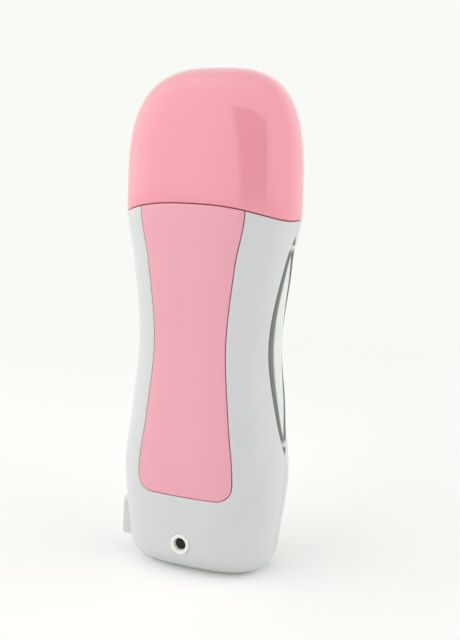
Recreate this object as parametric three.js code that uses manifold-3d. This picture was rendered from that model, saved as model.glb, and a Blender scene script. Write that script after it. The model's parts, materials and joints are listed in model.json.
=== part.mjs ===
// Roll-on wax heater: a waisted, hand-held housing that warms a wax cartridge,
// with a domed cap that lifts off over the cartridge's roller.
// Millimetres, +Z up, front towards -Y, origin at the centre of the base.

import * as THREE from 'three';
import { mergeVertices } from 'three/addons/utils/BufferGeometryUtils.js';
import Module from 'manifold-3d';

const wasm = await Module();
wasm.setup();

// Clearances
const fitGap = 0.3;              // between pieces that touch
const seamGap = 0.4;             // cap to housing
const partingGap = 0.3;          // front shell to rear shell
const grooveGap = 0.3;           // around the front panel
const cutOverrun = 6;            // how far a cutter runs past what it cuts
const rootDepth = 1.2;           // how far a rib or boss runs into its wall

// Walls
const shellWall = 2.4;
const capWall = 1.8;
const panelThickness = 1.1;

// Form of every cross-section: an oval between an ellipse and a rectangle
const sectionExponent = 2.6;
const ringSteps = 40;

// Wax cartridge
const bottleHalfWidth = 24.2;
const bottleHalfDepth = 14.4;
const bottleHeight = 99;
const bottleWall = 1.2;
const bottleEdgeRadius = 3;
const bottleEdgeSteps = 3;
const waxHeadspace = 7;
const plugDepth = 5.6;
const headPlateOverhang = 1.8;
const headPlateThickness = 3;
const headHeight = 24;
const headTopHalfDepth = 11.6;
const headSideWall = 3;
const rollerRadius = 9;
const rollerLength = 44;
const rollerRunGap = 0.5;
const rollerAxisDrop = 3;        // axis below the top of the head
const axleRadius = 1.5;
const feedHoleRadius = 2.4;
const feedHolePitch = 13;
const feedHoleCount = 3;

// Heating chamber
const cartridgeClearance = 0.45;
const sleeveWall = 1.2;
const sideAirGap = 0.7;
const heaterPadThickness = 1.2;
const heaterPadHalfWidth = 13;
const heaterPadHeight = 62;
const heaterPadRise = 8;         // above the chamber's floor
const padAirGap = 0.45;
const sleeveSlotMargin = 1.2;    // slot in the sleeve beyond the window
const sleeveSlotRadius = 4.5;
const sleeveRimHeight = 2.4;     // left above the slot
const carrierThickness = 5;
const carrierRimHeight = 5;
const carrierRimWall = 1.5;
const bayHeight = 31.6;          // electronics bay, floor to carrier

// Sensors in the carrier
const thermostatLength = 18;
const thermostatWidth = 7.5;
const thermostatHeight = 3.4;
const fuseRadius = 1.6;
const fuseLength = 9.5;
const sensorOffset = 6;

// Collar in the mouth of the housing
const flangeThickness = 2;
const collarWall = 2;
const collarDepth = 8;           // below its flange
const locatingRingHeight = 4;
const locatingRingWall = 1.2;
const neckHeight = 8;            // above the highest point of the seam

// Seam and cap
const seamSideRise = 2.4;        // above the collar's flange, at the sides
const seamArch = 5.7;            // front and back higher than the sides
const seamArchExponent = 2.9;    // how late the seam climbs towards the front and back
const capSkirt = 2.6;
const crownRise = 50;
const crownWidthExponent = 3.04;
const crownDepthExponent = 2.58;
const crownLean = 4.2;           // the crown's top stands behind the middle
const crownLeanExponent = 5;     // how late on its way up the crown leans

// Outline of the housing: how much wider and deeper than the waist
const waistHeight = 93;
const hipHeight = 40;
const hipFlareWidth = 5.1;
const hipFlareDepth = 2.3;
const shoulderFlareWidth = 6.6;
const shoulderFlareDepth = 2;
const shoulderDrop = 2;          // fullest level, below the seam's highest point
const baseTaperWidth = 4.3;      // the base is narrower than the hip
const baseTaperDepth = 4.3;
const baseEdgeRadius = 8.5;
const skirtHeightShare = 0.31;
const skirtWidthShare = 0.29;
const skirtDepthShare = 0.95;
const thighHeightShare = 0.45;
const thighWidthShare = 0.48;
const thighDepthShare = 0.55;
const chestHeightShare = 0.6;
const chestWidthShare = 0.46;
const chestDepthShare = 0.62;

// Parting plane and windows
const partingY = 2.6;
const windowSill = 7.7;          // above the chamber's floor
const windowTopMargin = 1.3;     // below the collar's flange
const windowReach = 9.1;         // each way from the parting plane
const gasketFrontWidth = 3.5;
const gasketRearWidth = 1.2;
const gasketTipInset = 5;
const gasketThickness = 2.4;
const gasketProud = 0.45;
const paneThickness = 2;

// Front panel
const panelSideMargin = 13.6;    // panel's edge to the housing's outline
const panelBottomHeight = 32.9;
const panelCornerRadius = 6;

// Power button and its switch
const buttonTravel = 2.5;
const buttonWidth = 10;
const buttonHeight = 16.9;
const buttonBottomHeight = 7.3;
const buttonCentreY = -4;
const buttonReach = 34.6;        // outer face, from the middle of the housing
const buttonCornerRadius = 2.4;
const buttonEdgeRadius = 1.2;
const buttonEdgeSteps = 3;
const buttonLipHeight = 1.2;
const buttonLipWidth = 6;
const buttonLipThickness = 1.4;
const switchLength = 10;
const switchWidth = 12;
const switchHeight = 14;
const plungerRadius = 1.9;
const plungerInSwitch = 3.4;

// Indicator lamp
const lampHeight = 13.3;
const lampRadius = 2.45;
const lampLength = 8.4;
const lampRimRadius = 2.9;
const lampRimThickness = 1;
const lampSetback = 0.9;         // behind the bezel's face
const bezelRadius = 4.15;
const bezelProud = 0.4;
const bezelTubeRadius = 3.3;
const bezelTubeLength = 8;
const bezelChamfer = 0.4;
const lampLeadSize = 0.6;
const lampLeadPitch = 2.54;
const lampLeadReach = 1.2;       // behind the lamp, before it turns up

// Mains inlet, low on the back
const inletWidth = 19;
const inletHeight = 12;
const inletBottomHeight = 9;
const inletDepth = 17;
const inletSetback = 0.3;
const socketWidth = 14.4;
const socketHeight = 9;
const socketDepth = 13;
const socketCornerRadius = 4.1;
const pinRadius = 1.2;
const pinPitch = 8.6;
const pinSetback = 2.5;
const pinTail = 2.5;

// Circuit board
const boardHalfWidth = 18;
const boardHalfDepth = 13;
const boardThickness = 1.6;
const boardHeadroom = 5;         // under the carrier
const boardPostRadius = 2.6;
const boardPostInset = 4;
const boardScrewRadius = 1;
const boardScrewHeadRadius = 2.1;
const boardScrewHeadThickness = 1.4;
const boardScrewLength = 8;
const capacitorLength = 10;
const capacitorWidth = 6;
const capacitorHeight = 11;
const capacitorGap = 1.2;        // behind the front post
const resistorRadius = 1.3;
const resistorLength = 7;
const diodeRadius = 1.2;
const diodeLength = 5;
const componentPitch = 7;

// Case screws, from the back
const screwOffset = 23;
const screwHeight = 29.2;
const screwRadius = 1.45;
const screwLength = 18;
const screwHeadRadius = 2.6;
const screwHeadThickness = 1.8;
const screwPocketDepth = 6;
const bossWall = 1.2;
const bossFloorMargin = 2;

// Ribs and pedestals inside the shells
const ledgeOffset = 13;
const ledgeWidth = 6;
const ledgeReach = 3.5;
const ledgeThickness = 2;
const pedestalInset = 1.5;

// Insulated leads
const leadRadius = 0.8;
const leadNotchHalfWidth = 1.3;
const leadOffset = 6;
const leadSides = 8;
const leadSteps = 14;
const heaterLeadRadius = 0.7;
const leadSweep = 4;             // room that a lead takes for its bend
const switchLeadDrop = 3.2;      // below the top of the switch
const nearShare = 0.4;           // places along a lead's run
const midShare = 0.5;
const farShare = 0.8;

const roundSides = 24;
const smallSides = 12;
const rollerSides = 36;

// Sizes that follow from the stack of pieces inside
const sleeveHalfWidth = bottleHalfWidth + cartridgeClearance + sleeveWall;
const sleeveHalfDepth = bottleHalfDepth + cartridgeClearance + sleeveWall;
const waistHalfWidth = sleeveHalfWidth + sideAirGap + shellWall;
const waistHalfDepth = sleeveHalfDepth + fitGap + heaterPadThickness + padAirGap + shellWall;

const carrierBottomZ = shellWall + bayHeight;
const carrierTopZ = carrierBottomZ + carrierThickness;
const sleeveBottomZ = carrierTopZ + fitGap;
const chamberFloorZ = sleeveBottomZ + sleeveWall;
const bottleBottomZ = chamberFloorZ + fitGap;
const bottleTopZ = bottleBottomZ + bottleHeight;
const flangeTopZ = bottleTopZ;
const flangeBottomZ = flangeTopZ - flangeThickness;
const sleeveTopZ = flangeBottomZ - fitGap;
const seamSideZ = flangeTopZ + seamSideRise;
const seamFrontZ = seamSideZ + seamArch;
const neckTopZ = seamFrontZ + neckHeight;
const crownStartZ = seamFrontZ + capSkirt;
const shoulderZ = seamFrontZ - shoulderDrop;
const frontParting = partingY - partingGap / 2;
const rearParting = partingY + partingGap / 2;

const headPlateZ = flangeTopZ + fitGap;
const headTopZ = headPlateZ + headPlateThickness + headHeight;
const rollerAxisZ = headTopZ - rollerAxisDrop;
const headHalfWidth = rollerLength / 2 + rollerRunGap + headSideWall;

const boardBottomZ = carrierBottomZ - boardHeadroom - boardThickness;
const boardTopZ = boardBottomZ + boardThickness;

// The value a share of the way from low to high
function between(low, high, share) {
  return low + (high - low) * share;
}

// A smooth curve through [height, value] stations that never overshoots them
function smoothThrough(stations) {
  const last = stations.length - 1;
  const rises = [];
  for (let i = 0; i < last; i++) {
    const run = stations[i + 1][0] - stations[i][0];
    rises.push((stations[i + 1][1] - stations[i][1]) / run);
  }
  const slopes = [rises[0]];
  for (let i = 1; i < last; i++) {
    const turning = rises[i - 1] * rises[i] <= 0;
    slopes.push(turning ? 0 : 2 * rises[i - 1] * rises[i] / (rises[i - 1] + rises[i]));
  }
  slopes.push(0);
  return (height) => {
    let i = 0;
    while (i < last - 1 && height > stations[i + 1][0]) {
      i += 1;
    }
    const run = stations[i + 1][0] - stations[i][0];
    const t = Math.min(Math.max((height - stations[i][0]) / run, 0), 1);
    const ease = t * t * (3 - 2 * t);
    const bend = t * (1 - t) * ((1 - t) * slopes[i] - t * slopes[i + 1]);
    return between(stations[i][1], stations[i + 1][1], ease) + bend * run;
  };
}

const hipHalfWidth = waistHalfWidth + hipFlareWidth;
const hipHalfDepth = waistHalfDepth + hipFlareDepth;
const shoulderHalfWidth = waistHalfWidth + shoulderFlareWidth;
const shoulderHalfDepth = waistHalfDepth + shoulderFlareDepth;
const baseHalfWidth = hipHalfWidth - baseTaperWidth;
const baseHalfDepth = hipHalfDepth - baseTaperDepth;
const skirtZ = hipHeight * skirtHeightShare;
const thighZ = between(hipHeight, waistHeight, thighHeightShare);
const chestZ = between(waistHeight, shoulderZ, chestHeightShare);

const halfWidthAt = smoothThrough([
  [0, baseHalfWidth],
  [skirtZ, between(baseHalfWidth, hipHalfWidth, skirtWidthShare)],
  [hipHeight, hipHalfWidth],
  [thighZ, between(waistHalfWidth, hipHalfWidth, thighWidthShare)],
  [waistHeight, waistHalfWidth],
  [chestZ, between(waistHalfWidth, shoulderHalfWidth, chestWidthShare)],
  [shoulderZ, shoulderHalfWidth],
]);
const halfDepthAt = smoothThrough([
  [0, baseHalfDepth],
  [skirtZ, between(baseHalfDepth, hipHalfDepth, skirtDepthShare)],
  [hipHeight, hipHalfDepth],
  [thighZ, between(waistHalfDepth, hipHalfDepth, thighDepthShare)],
  [waistHeight, waistHalfDepth],
  [chestZ, between(waistHalfDepth, shoulderHalfDepth, chestDepthShare)],
  [shoulderZ, shoulderHalfDepth],
]);

// The object's section at a height, drawn in by a wall: half sizes, and where its middle is
function sectionAt(z, inset) {
  const edge = baseEdgeRadius - inset;
  const rise = Math.min(Math.max(z - inset, 0), edge);
  const drawnIn = inset + edge - Math.sqrt(edge ** 2 - (edge - rise) ** 2);
  const crown = Math.min(Math.max((z - crownStartZ) / (crownRise - inset), 0), 1);
  const widthFall = (1 - crown ** crownWidthExponent) ** (1 / crownWidthExponent);
  const depthFall = (1 - crown ** crownDepthExponent) ** (1 / crownDepthExponent);
  return {
    halfWidth: (halfWidthAt(z) - drawnIn) * widthFall,
    halfDepth: (halfDepthAt(z) - drawnIn) * depthFall,
    centreY: crownLean * crown ** crownLeanExponent,
  };
}

// Distance from the middle to the surface, along X at a given y, or along Y at a given x
function reachAlongX(y, z, inset) {
  const { halfWidth, halfDepth } = sectionAt(z, inset);
  return halfWidth * (1 - Math.abs(y / halfDepth) ** sectionExponent) ** (1 / sectionExponent);
}

function reachAlongY(x, z, inset) {
  const { halfWidth, halfDepth } = sectionAt(z, inset);
  return halfDepth * (1 - Math.abs(x / halfWidth) ** sectionExponent) ** (1 / sectionExponent);
}

// Solids from three.js geometry, and back
function toSolid(geometry) {
  geometry.deleteAttribute('normal');
  geometry.deleteAttribute('uv');
  const merged = mergeVertices(geometry);
  const vertProperties = new Float32Array(merged.attributes.position.array);
  const triVerts = new Uint32Array(merged.index.array);
  const solid = new wasm.Manifold(new wasm.Mesh({ numProp: 3, vertProperties, triVerts }));
  if (solid.volume() > 0) {
    return solid;
  }
  triVerts.reverse();
  return new wasm.Manifold(new wasm.Mesh({ numProp: 3, vertProperties, triVerts }));
}

function toGeometry(solid) {
  const mesh = solid.getMesh();
  const geometry = new THREE.BufferGeometry();
  geometry.setAttribute('position', new THREE.BufferAttribute(mesh.vertProperties, 3));
  geometry.setIndex(new THREE.BufferAttribute(mesh.triVerts, 1));
  return geometry;
}

function oval(halfWidth, halfDepth, z, centreY = 0) {
  const points = [];
  for (let i = 0; i < ringSteps; i++) {
    const angle = 2 * Math.PI * i / ringSteps;
    const across = Math.cos(angle);
    const along = Math.sin(angle);
    const x = halfWidth * Math.sign(across) * Math.abs(across) ** (2 / sectionExponent);
    const y = halfDepth * Math.sign(along) * Math.abs(along) ** (2 / sectionExponent);
    points.push([x, centreY + y, z]);
  }
  return points;
}

// A closed solid through rings of points, bottom to top, with a fan over each end
function loft(rings, topZ = rings[rings.length - 1][0][2], topY = 0) {
  const count = rings[0].length;
  const points = rings.flat();
  const bottom = points.push([0, 0, rings[0][0][2]]) - 1;
  const top = points.push([0, topY, topZ]) - 1;
  const lastRing = (rings.length - 1) * count;
  const faces = [];
  for (let i = 0; i < count; i++) {
    const next = (i + 1) % count;
    faces.push(bottom, next, i, top, lastRing + i, lastRing + next);
    for (let r = 0; r < rings.length - 1; r++) {
      const low = r * count;
      const high = low + count;
      faces.push(low + i, low + next, high + next, low + i, high + next, high + i);
    }
  }
  const geometry = new THREE.BufferGeometry();
  geometry.setAttribute('position', new THREE.Float32BufferAttribute(points.flat(), 3));
  geometry.setIndex(faces);
  return toSolid(geometry);
}

function steps(from, to, count) {
  return Array.from({ length: count + 1 }, (_, i) => between(from, to, i / count));
}

// The object's form, drawn in by a wall, through the given heights
function formThrough(heights, inset, topZ = heights[heights.length - 1]) {
  const rings = heights.map((z) => {
    const { halfWidth, halfDepth, centreY } = sectionAt(z, inset);
    return oval(halfWidth, halfDepth, z, centreY);
  });
  return loft(rings, topZ, sectionAt(topZ, inset).centreY);
}

// The housing's form, from the base to above the seam
const edgeSteps = 4;
const bodySteps = 15;
function bodyForm(inset) {
  const edge = baseEdgeRadius - inset;
  const edgeHeights = steps(0, Math.PI / 2, edgeSteps).map((turn) => inset + edge * (1 - Math.cos(turn)));
  return formThrough([...edgeHeights, ...steps(baseEdgeRadius, crownStartZ, bodySteps).slice(1)], inset);
}

// The cap's form, from below the seam to the top of the crown
const capSkirtSteps = 2;
const crownSteps = 11;
function capForm(inset) {
  const heights = steps(seamSideZ - cutOverrun, crownStartZ, capSkirtSteps);
  const rise = crownRise - inset;
  for (const turn of steps(0, Math.PI / 2, crownSteps).slice(1, -1)) {
    heights.push(crownStartZ + rise * Math.sin(turn) ** (2 / sectionExponent));
  }
  return formThrough(heights, inset, crownStartZ + rise);
}

function ovalColumn(halfWidth, halfDepth, lowZ, highZ) {
  return loft([oval(halfWidth, halfDepth, lowZ), oval(halfWidth, halfDepth, highZ)]);
}

function block(x, y, z) {
  const geometry = new THREE.BoxGeometry(x[1] - x[0], y[1] - y[0], z[1] - z[0]);
  geometry.translate((x[0] + x[1]) / 2, (y[0] + y[1]) / 2, (z[0] + z[1]) / 2);
  return toSolid(geometry);
}

// Extrusions of an outline along X (outline in y, z) or along Y (outline in x, z)
const alongX = new THREE.Matrix4().makeBasis(
  new THREE.Vector3(0, 1, 0), new THREE.Vector3(0, 0, 1), new THREE.Vector3(1, 0, 0));
const alongY = new THREE.Matrix4().makeBasis(
  new THREE.Vector3(1, 0, 0), new THREE.Vector3(0, 0, 1), new THREE.Vector3(0, -1, 0));

function extrudeX(outline, from, to) {
  const shape = new THREE.Shape(outline.map(([y, z]) => new THREE.Vector2(y, z)));
  const geometry = new THREE.ExtrudeGeometry(shape, { depth: to - from, bevelEnabled: false });
  return toSolid(geometry.applyMatrix4(alongX).translate(from, 0, 0));
}

function extrudeY(outline, from, to) {
  const shape = new THREE.Shape(outline.map(([x, z]) => new THREE.Vector2(x, z)));
  const geometry = new THREE.ExtrudeGeometry(shape, { depth: to - from, bevelEnabled: false });
  return toSolid(geometry.applyMatrix4(alongY).translate(0, to, 0));
}

// Round pieces: the axis is x, y or z, and the place gives the other two coordinates
const axisTurns = {
  x: (geometry, [y, z]) => geometry.rotateZ(-Math.PI / 2).translate(0, y, z),
  y: (geometry, [x, z]) => geometry.translate(x, 0, z),
  z: (geometry, [x, y]) => geometry.rotateX(Math.PI / 2).translate(x, y, 0),
};

function rod(axis, radius, from, to, at, sides = roundSides) {
  const geometry = new THREE.CylinderGeometry(radius, radius, to - from, sides);
  geometry.translate(0, (from + to) / 2, 0);
  return toSolid(axisTurns[axis](geometry, at));
}

function turned(axis, profile, at, sides = roundSides) {
  const points = profile.map(([radius, along]) => new THREE.Vector2(radius, along));
  return toSolid(axisTurns[axis](new THREE.LatheGeometry(points, sides), at));
}

// Outline of a rectangle with round corners
const cornerSteps = 4;
function roundedRectangle(low, high, radius) {
  const points = [];
  const corners = [
    [high[0] - radius, high[1] - radius, 0],
    [low[0] + radius, high[1] - radius, 1],
    [low[0] + radius, low[1] + radius, 2],
    [high[0] - radius, low[1] + radius, 3],
  ];
  for (const [u, v, quarter] of corners) {
    for (const turn of steps(quarter, quarter + 1, cornerSteps)) {
      const angle = turn * Math.PI / 2;
      points.push([u + radius * Math.cos(angle), v + radius * Math.sin(angle)]);
    }
  }
  return points;
}

const root = new THREE.Group();

const finishes = {
  pearlWhite: { color: 0xdfe1e0, roughness: 0.32, metalness: 0 },
  pinkGloss: { color: 0xf2a6b5, roughness: 0.12, metalness: 0 },
  pinkSatin: { color: 0xefadba, roughness: 0.35, metalness: 0 },
  clear: { color: 0xf4f8f5, roughness: 0.05, metalness: 0, transparent: true, opacity: 0.45 },
  greyRubber: { color: 0x6e726e, roughness: 0.7, metalness: 0 },
  aluminium: { color: 0xc4c6c9, roughness: 0.4, metalness: 1 },
  steel: { color: 0xb5b7ba, roughness: 0.35, metalness: 1 },
  brass: { color: 0xc9a659, roughness: 0.35, metalness: 1 },
  siliconeOrange: { color: 0xc8603a, roughness: 0.75, metalness: 0 },
  blackPlastic: { color: 0x232326, roughness: 0.5, metalness: 0 },
  heatPlastic: { color: 0xd8d0bd, roughness: 0.6, metalness: 0 },
  boardGreen: { color: 0x2f6b46, roughness: 0.5, metalness: 0 },
  smokedLens: { color: 0x2b272b, roughness: 0.1, metalness: 0 },
  milkyPlastic: { color: 0xeeefea, roughness: 0.3, metalness: 0 },
  wax: { color: 0xe3a7b0, roughness: 0.5, metalness: 0 },
  componentYellow: { color: 0xd9b83c, roughness: 0.45, metalness: 0 },
  componentBlue: { color: 0x5d8fb0, roughness: 0.45, metalness: 0 },
  redLead: { color: 0xb43a32, roughness: 0.5, metalness: 0 },
  blueLead: { color: 0x3a5fa8, roughness: 0.5, metalness: 0 },
};

function place(name, solid, finish) {
  const mesh = new THREE.Mesh(toGeometry(solid), new THREE.MeshStandardMaterial(finishes[finish]));
  mesh.name = name;
  root.add(mesh);
}

// The cap's seam: level across the width, and arched from the sides to the front and back
const seamSteps = 24;
function seamLine(offset) {
  const reach = shoulderHalfDepth + cutOverrun;
  return steps(-reach, reach, seamSteps).map((y) => {
    const climb = Math.abs(y / shoulderHalfDepth) ** seamArchExponent;
    return [y, seamSideZ + seamArch * climb + offset];
  });
}

const farWide = shoulderHalfWidth + cutOverrun;
const farDeep = shoulderHalfDepth + cutOverrun;
const capTopZ = crownStartZ + crownRise;

function belowSeam(offset) {
  const outline = seamLine(offset);
  outline.push([farDeep, -cutOverrun], [-farDeep, -cutOverrun]);
  return extrudeX(outline, -farWide, farWide);
}

function aboveSeam(offset) {
  const outline = seamLine(offset);
  outline.push([farDeep, capTopZ + cutOverrun], [-farDeep, capTopZ + cutOverrun]);
  return extrudeX(outline, -farWide, farWide);
}

// The windows: two arcs that meet in a tip above and below, alike on both sides
const eyeSteps = 12;
function eyeArc(eye, reach) {
  const middle = (eye.lowZ + eye.highZ) / 2;
  const half = (eye.highZ - eye.lowZ) / 2;
  const radius = (half ** 2 + reach ** 2) / (2 * reach);
  return steps(eye.lowZ, eye.highZ, eyeSteps).map((z) => {
    return [Math.sqrt(radius ** 2 - (z - middle) ** 2) - (radius - reach), z];
  });
}

function eyeOutline(eye) {
  const front = eyeArc(eye, eye.frontReach).map(([bulge, z]) => [partingY - bulge, z]);
  const rear = eyeArc(eye, eye.rearReach).map(([bulge, z]) => [partingY + bulge, z]);
  return [...front, ...rear.reverse().slice(1, -1)];
}

function shrunkEye(eye, gap) {
  const half = (eye.highZ - eye.lowZ) / 2;
  const tipAngle = 2 * Math.atan(Math.min(eye.frontReach, eye.rearReach) / half);
  const tipInset = gap / Math.sin(tipAngle);
  return {
    lowZ: eye.lowZ + tipInset,
    highZ: eye.highZ - tipInset,
    frontReach: eye.frontReach - gap,
    rearReach: eye.rearReach - gap,
  };
}

const slotEye = {
  lowZ: chamberFloorZ + windowSill,
  highZ: flangeBottomZ - windowTopMargin,
  frontReach: windowReach,
  rearReach: windowReach,
};
const gasketEye = shrunkEye(slotEye, fitGap);
const gasketHole = {
  lowZ: gasketEye.lowZ + gasketTipInset,
  highZ: gasketEye.highZ - gasketTipInset,
  frontReach: gasketEye.frontReach - gasketFrontWidth,
  rearReach: gasketEye.rearReach - gasketRearWidth,
};
const paneEye = shrunkEye(gasketHole, fitGap);

// The front panel's outline keeps the same margin to the housing's outline all the way up
const panelSteps = 13;
const panelCornerSteps = 6;
function panelOutline(grow) {
  const radius = panelCornerRadius + grow;
  const bottomZ = panelBottomHeight - grow;
  const edgeAt = (z) => halfWidthAt(z) - panelSideMargin + grow;
  const right = [];
  const cornerX = edgeAt(bottomZ + radius) - radius;
  for (const turn of steps(0, Math.PI / 2, panelCornerSteps).slice(0, -1)) {
    right.push([cornerX + radius * Math.sin(turn), bottomZ + radius * (1 - Math.cos(turn))]);
  }
  for (const z of steps(bottomZ + radius, crownStartZ, panelSteps)) {
    right.push([edgeAt(z), z]);
  }
  const left = right.map(([x, z]) => [-x, z]).reverse();
  return [...right, ...left];
}

const housingForm = bodyForm(0);
const housingHollow = bodyForm(shellWall);
const rootForm = bodyForm(shellWall - rootDepth);
const housingTrim = belowSeam(-seamGap / 2);

// Power button: a block through a slot in the left wall, with lips behind the wall
const buttonTopZ = buttonBottomHeight + buttonHeight;
const buttonMiddleZ = buttonBottomHeight + buttonHeight / 2;
const buttonLowY = buttonCentreY - buttonWidth / 2;
const buttonHighY = buttonCentreY + buttonWidth / 2;
const lipBottomZ = buttonBottomHeight - buttonLipHeight;
const lipTopZ = buttonTopZ + buttonLipHeight;
const lipLowY = buttonCentreY - buttonLipWidth / 2;
const lipHighY = buttonCentreY + buttonLipWidth / 2;
const lipOuterX = fitGap - reachAlongX(lipLowY, lipBottomZ, shellWall);
const lipInnerX = lipOuterX + buttonLipThickness;
const switchOuterX = lipInnerX + buttonTravel + fitGap;
const switchInnerX = switchOuterX + switchLength;
const switchBottomZ = buttonMiddleZ - switchHeight / 2;
const switchTopZ = buttonMiddleZ + switchHeight / 2;
const switchLowY = buttonCentreY - switchWidth / 2;
const switchHighY = buttonCentreY + switchWidth / 2;
const plungerOuterX = lipInnerX + fitGap;
const plungerInnerX = switchOuterX + plungerInSwitch;

// Indicator lamp: axis along Y through the front wall
const bezelFaceY = -reachAlongY(0, lampHeight, 0) - bezelProud;
const spotFaceY = -reachAlongY(bezelRadius, lampHeight - bezelRadius, 0) + fitGap;
const bezelSeatY = spotFaceY - fitGap;
const bezelBoreRadius = lampRadius + fitGap;
const lampTipY = bezelFaceY + lampSetback;
const lampRimY = Math.max(lampTipY + lampLength, bezelSeatY + bezelTubeLength + fitGap);

// Mains inlet
const inletTopZ = inletBottomHeight + inletHeight;
const inletMiddleZ = inletBottomHeight + inletHeight / 2;
const inletFaceY = reachAlongY(inletWidth / 2, inletBottomHeight, 0) - inletSetback;
const inletBackY = inletFaceY - inletDepth;
const pinTipY = inletFaceY - pinSetback;
const pinTailY = inletBackY - pinTail;

// Board posts and case screws
const rearPostPlaces = [-1, 1].map((side) => {
  return [side * (boardHalfWidth - boardPostInset), boardHalfDepth - boardPostInset];
});
const frontPostPlace = [boardHalfWidth - boardPostInset, boardPostRadius - boardHalfDepth];
const boardBoreRadius = boardScrewRadius + fitGap;
const screwBoreRadius = screwRadius + fitGap;
const screwPocketRadius = screwHeadRadius + fitGap;
const rearBossRadius = screwPocketRadius + bossWall;
const frontBossRadius = screwBoreRadius + bossWall;
const screwSurfaceY = reachAlongY(screwOffset, screwHeight, 0);
const screwSeatY = screwSurfaceY - screwPocketDepth;
const screwHeadY = screwSeatY + fitGap;
const screwTipY = screwHeadY - screwLength;
const screwBoreEndY = screwTipY - bossFloorMargin;

const ledgeTopZ = carrierBottomZ - fitGap;
function ledge(side, facing) {
  const x = [side * ledgeOffset - ledgeWidth / 2, side * ledgeOffset + ledgeWidth / 2];
  const bottomZ = ledgeTopZ - ledgeThickness;
  const farEdge = ledgeOffset + ledgeWidth / 2;
  const wallY = reachAlongY(farEdge, bottomZ, shellWall) + rootDepth;
  const tipY = reachAlongY(farEdge, bottomZ, shellWall) - ledgeReach;
  const y = [facing * wallY, facing * tipY].sort((a, b) => a - b);
  return block(x, y, [bottomZ, ledgeTopZ]);
}

const floorRootZ = shellWall - rootDepth;
function post(at, topZ) {
  return rod('z', boardPostRadius, floorRootZ, topZ, at, smallSides);
}

function pedestal(x, y, topZ) {
  return block(x, y, [floorRootZ, topZ]);
}

function windowSlot() {
  return extrudeX(eyeOutline(slotEye), -farWide, farWide);
}

function frontShell() {
  let shell = housingForm.subtract(housingHollow).intersect(housingTrim);
  shell = shell.intersect(block([-farWide, farWide], [-farDeep, frontParting], [-cutOverrun, capTopZ]));
  const recess = extrudeY(panelOutline(grooveGap), -farDeep, 0);
  shell = shell.subtract(recess.subtract(bodyForm(panelThickness + fitGap)));
  shell = shell.subtract(windowSlot());
  for (const side of [-1, 1]) {
    shell = shell.add(ledge(side, -1));
    const at = [side * screwOffset, screwHeight];
    const boss = rod('y', frontBossRadius, -screwSurfaceY, frontParting, at, smallSides);
    const boreY = [screwBoreEndY, frontParting + cutOverrun];
    shell = shell.add(boss.intersect(rootForm));
    shell = shell.subtract(rod('y', screwBoreRadius, ...boreY, at, smallSides));
  }
  shell = shell.add(post(frontPostPlace, boardBottomZ - fitGap));
  const pedestalX = [switchOuterX + pedestalInset, switchInnerX - pedestalInset];
  const pedestalY = [switchLowY + pedestalInset, frontParting - pedestalInset];
  shell = shell.add(pedestal(pedestalX, pedestalY, switchBottomZ - fitGap));
  const slotLow = [buttonLowY - fitGap, buttonBottomHeight - fitGap];
  const slotHigh = [buttonHighY + fitGap, buttonTopZ + fitGap];
  const slot = roundedRectangle(slotLow, slotHigh, buttonCornerRadius + fitGap);
  shell = shell.subtract(extrudeX(slot, -farWide, lipInnerX + buttonTravel));
  const lampPlace = [0, lampHeight];
  const holeEndY = spotFaceY + shellWall + cutOverrun;
  shell = shell.subtract(rod('y', bezelTubeRadius + fitGap, -farDeep, holeEndY, lampPlace));
  shell = shell.subtract(rod('y', bezelRadius + fitGap, -farDeep, spotFaceY, lampPlace));
  place('front_shell', shell, 'pearlWhite');
}

function rearShell() {
  let shell = housingForm.subtract(housingHollow).intersect(housingTrim);
  shell = shell.intersect(block([-farWide, farWide], [rearParting, farDeep], [-cutOverrun, capTopZ]));
  shell = shell.subtract(windowSlot());
  for (const side of [-1, 1]) {
    shell = shell.add(ledge(side, 1));
    const at = [side * screwOffset, screwHeight];
    const boss = rod('y', rearBossRadius, rearParting, screwSurfaceY, at, smallSides);
    const boreY = [rearParting - cutOverrun, farDeep];
    shell = shell.add(boss.intersect(rootForm));
    shell = shell.subtract(rod('y', screwBoreRadius, ...boreY, at, smallSides));
    shell = shell.subtract(rod('y', screwPocketRadius, screwSeatY, farDeep, at));
  }
  for (const at of rearPostPlaces) {
    const topZ = boardBottomZ - fitGap;
    shell = shell.add(post(at, topZ));
    const boreZ = boardTopZ - boardScrewLength - bossFloorMargin;
    shell = shell.subtract(rod('z', boardBoreRadius, boreZ, topZ + cutOverrun, at, smallSides));
  }
  const half = inletWidth / 2;
  const pedestalX = [-half + pedestalInset, half - pedestalInset];
  const pedestalY = [inletBackY + pedestalInset, inletFaceY - baseEdgeRadius];
  shell = shell.add(pedestal(pedestalX, pedestalY, inletBottomHeight - fitGap));
  const inletX = [-half - fitGap, half + fitGap];
  const inletZ = [inletBottomHeight - fitGap, inletTopZ + fitGap];
  shell = shell.subtract(block(inletX, [inletFaceY - cutOverrun, farDeep], inletZ));
  place('rear_shell', shell, 'pearlWhite');
}

function frontPanel() {
  let panel = extrudeY(panelOutline(0), -farDeep, 0);
  panel = panel.intersect(housingForm).subtract(bodyForm(panelThickness)).intersect(housingTrim);
  place('front_panel', panel, 'pinkSatin');
}

function windows() {
  const gasketBody = bodyForm(-gasketProud).subtract(bodyForm(gasketThickness));
  const paneBody = housingForm.subtract(bodyForm(paneThickness));
  for (const [name, from, to] of [['left', -farWide, 0], ['right', 0, farWide]]) {
    let gasket = extrudeX(eyeOutline(gasketEye), from, to).intersect(gasketBody);
    gasket = gasket.subtract(extrudeX(eyeOutline(gasketHole), from, to));
    place(`window_gasket_${name}`, gasket, 'greyRubber');
    const pane = extrudeX(eyeOutline(paneEye), from, to).intersect(paneBody);
    place(`window_pane_${name}`, pane, 'clear');
  }
}

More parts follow.
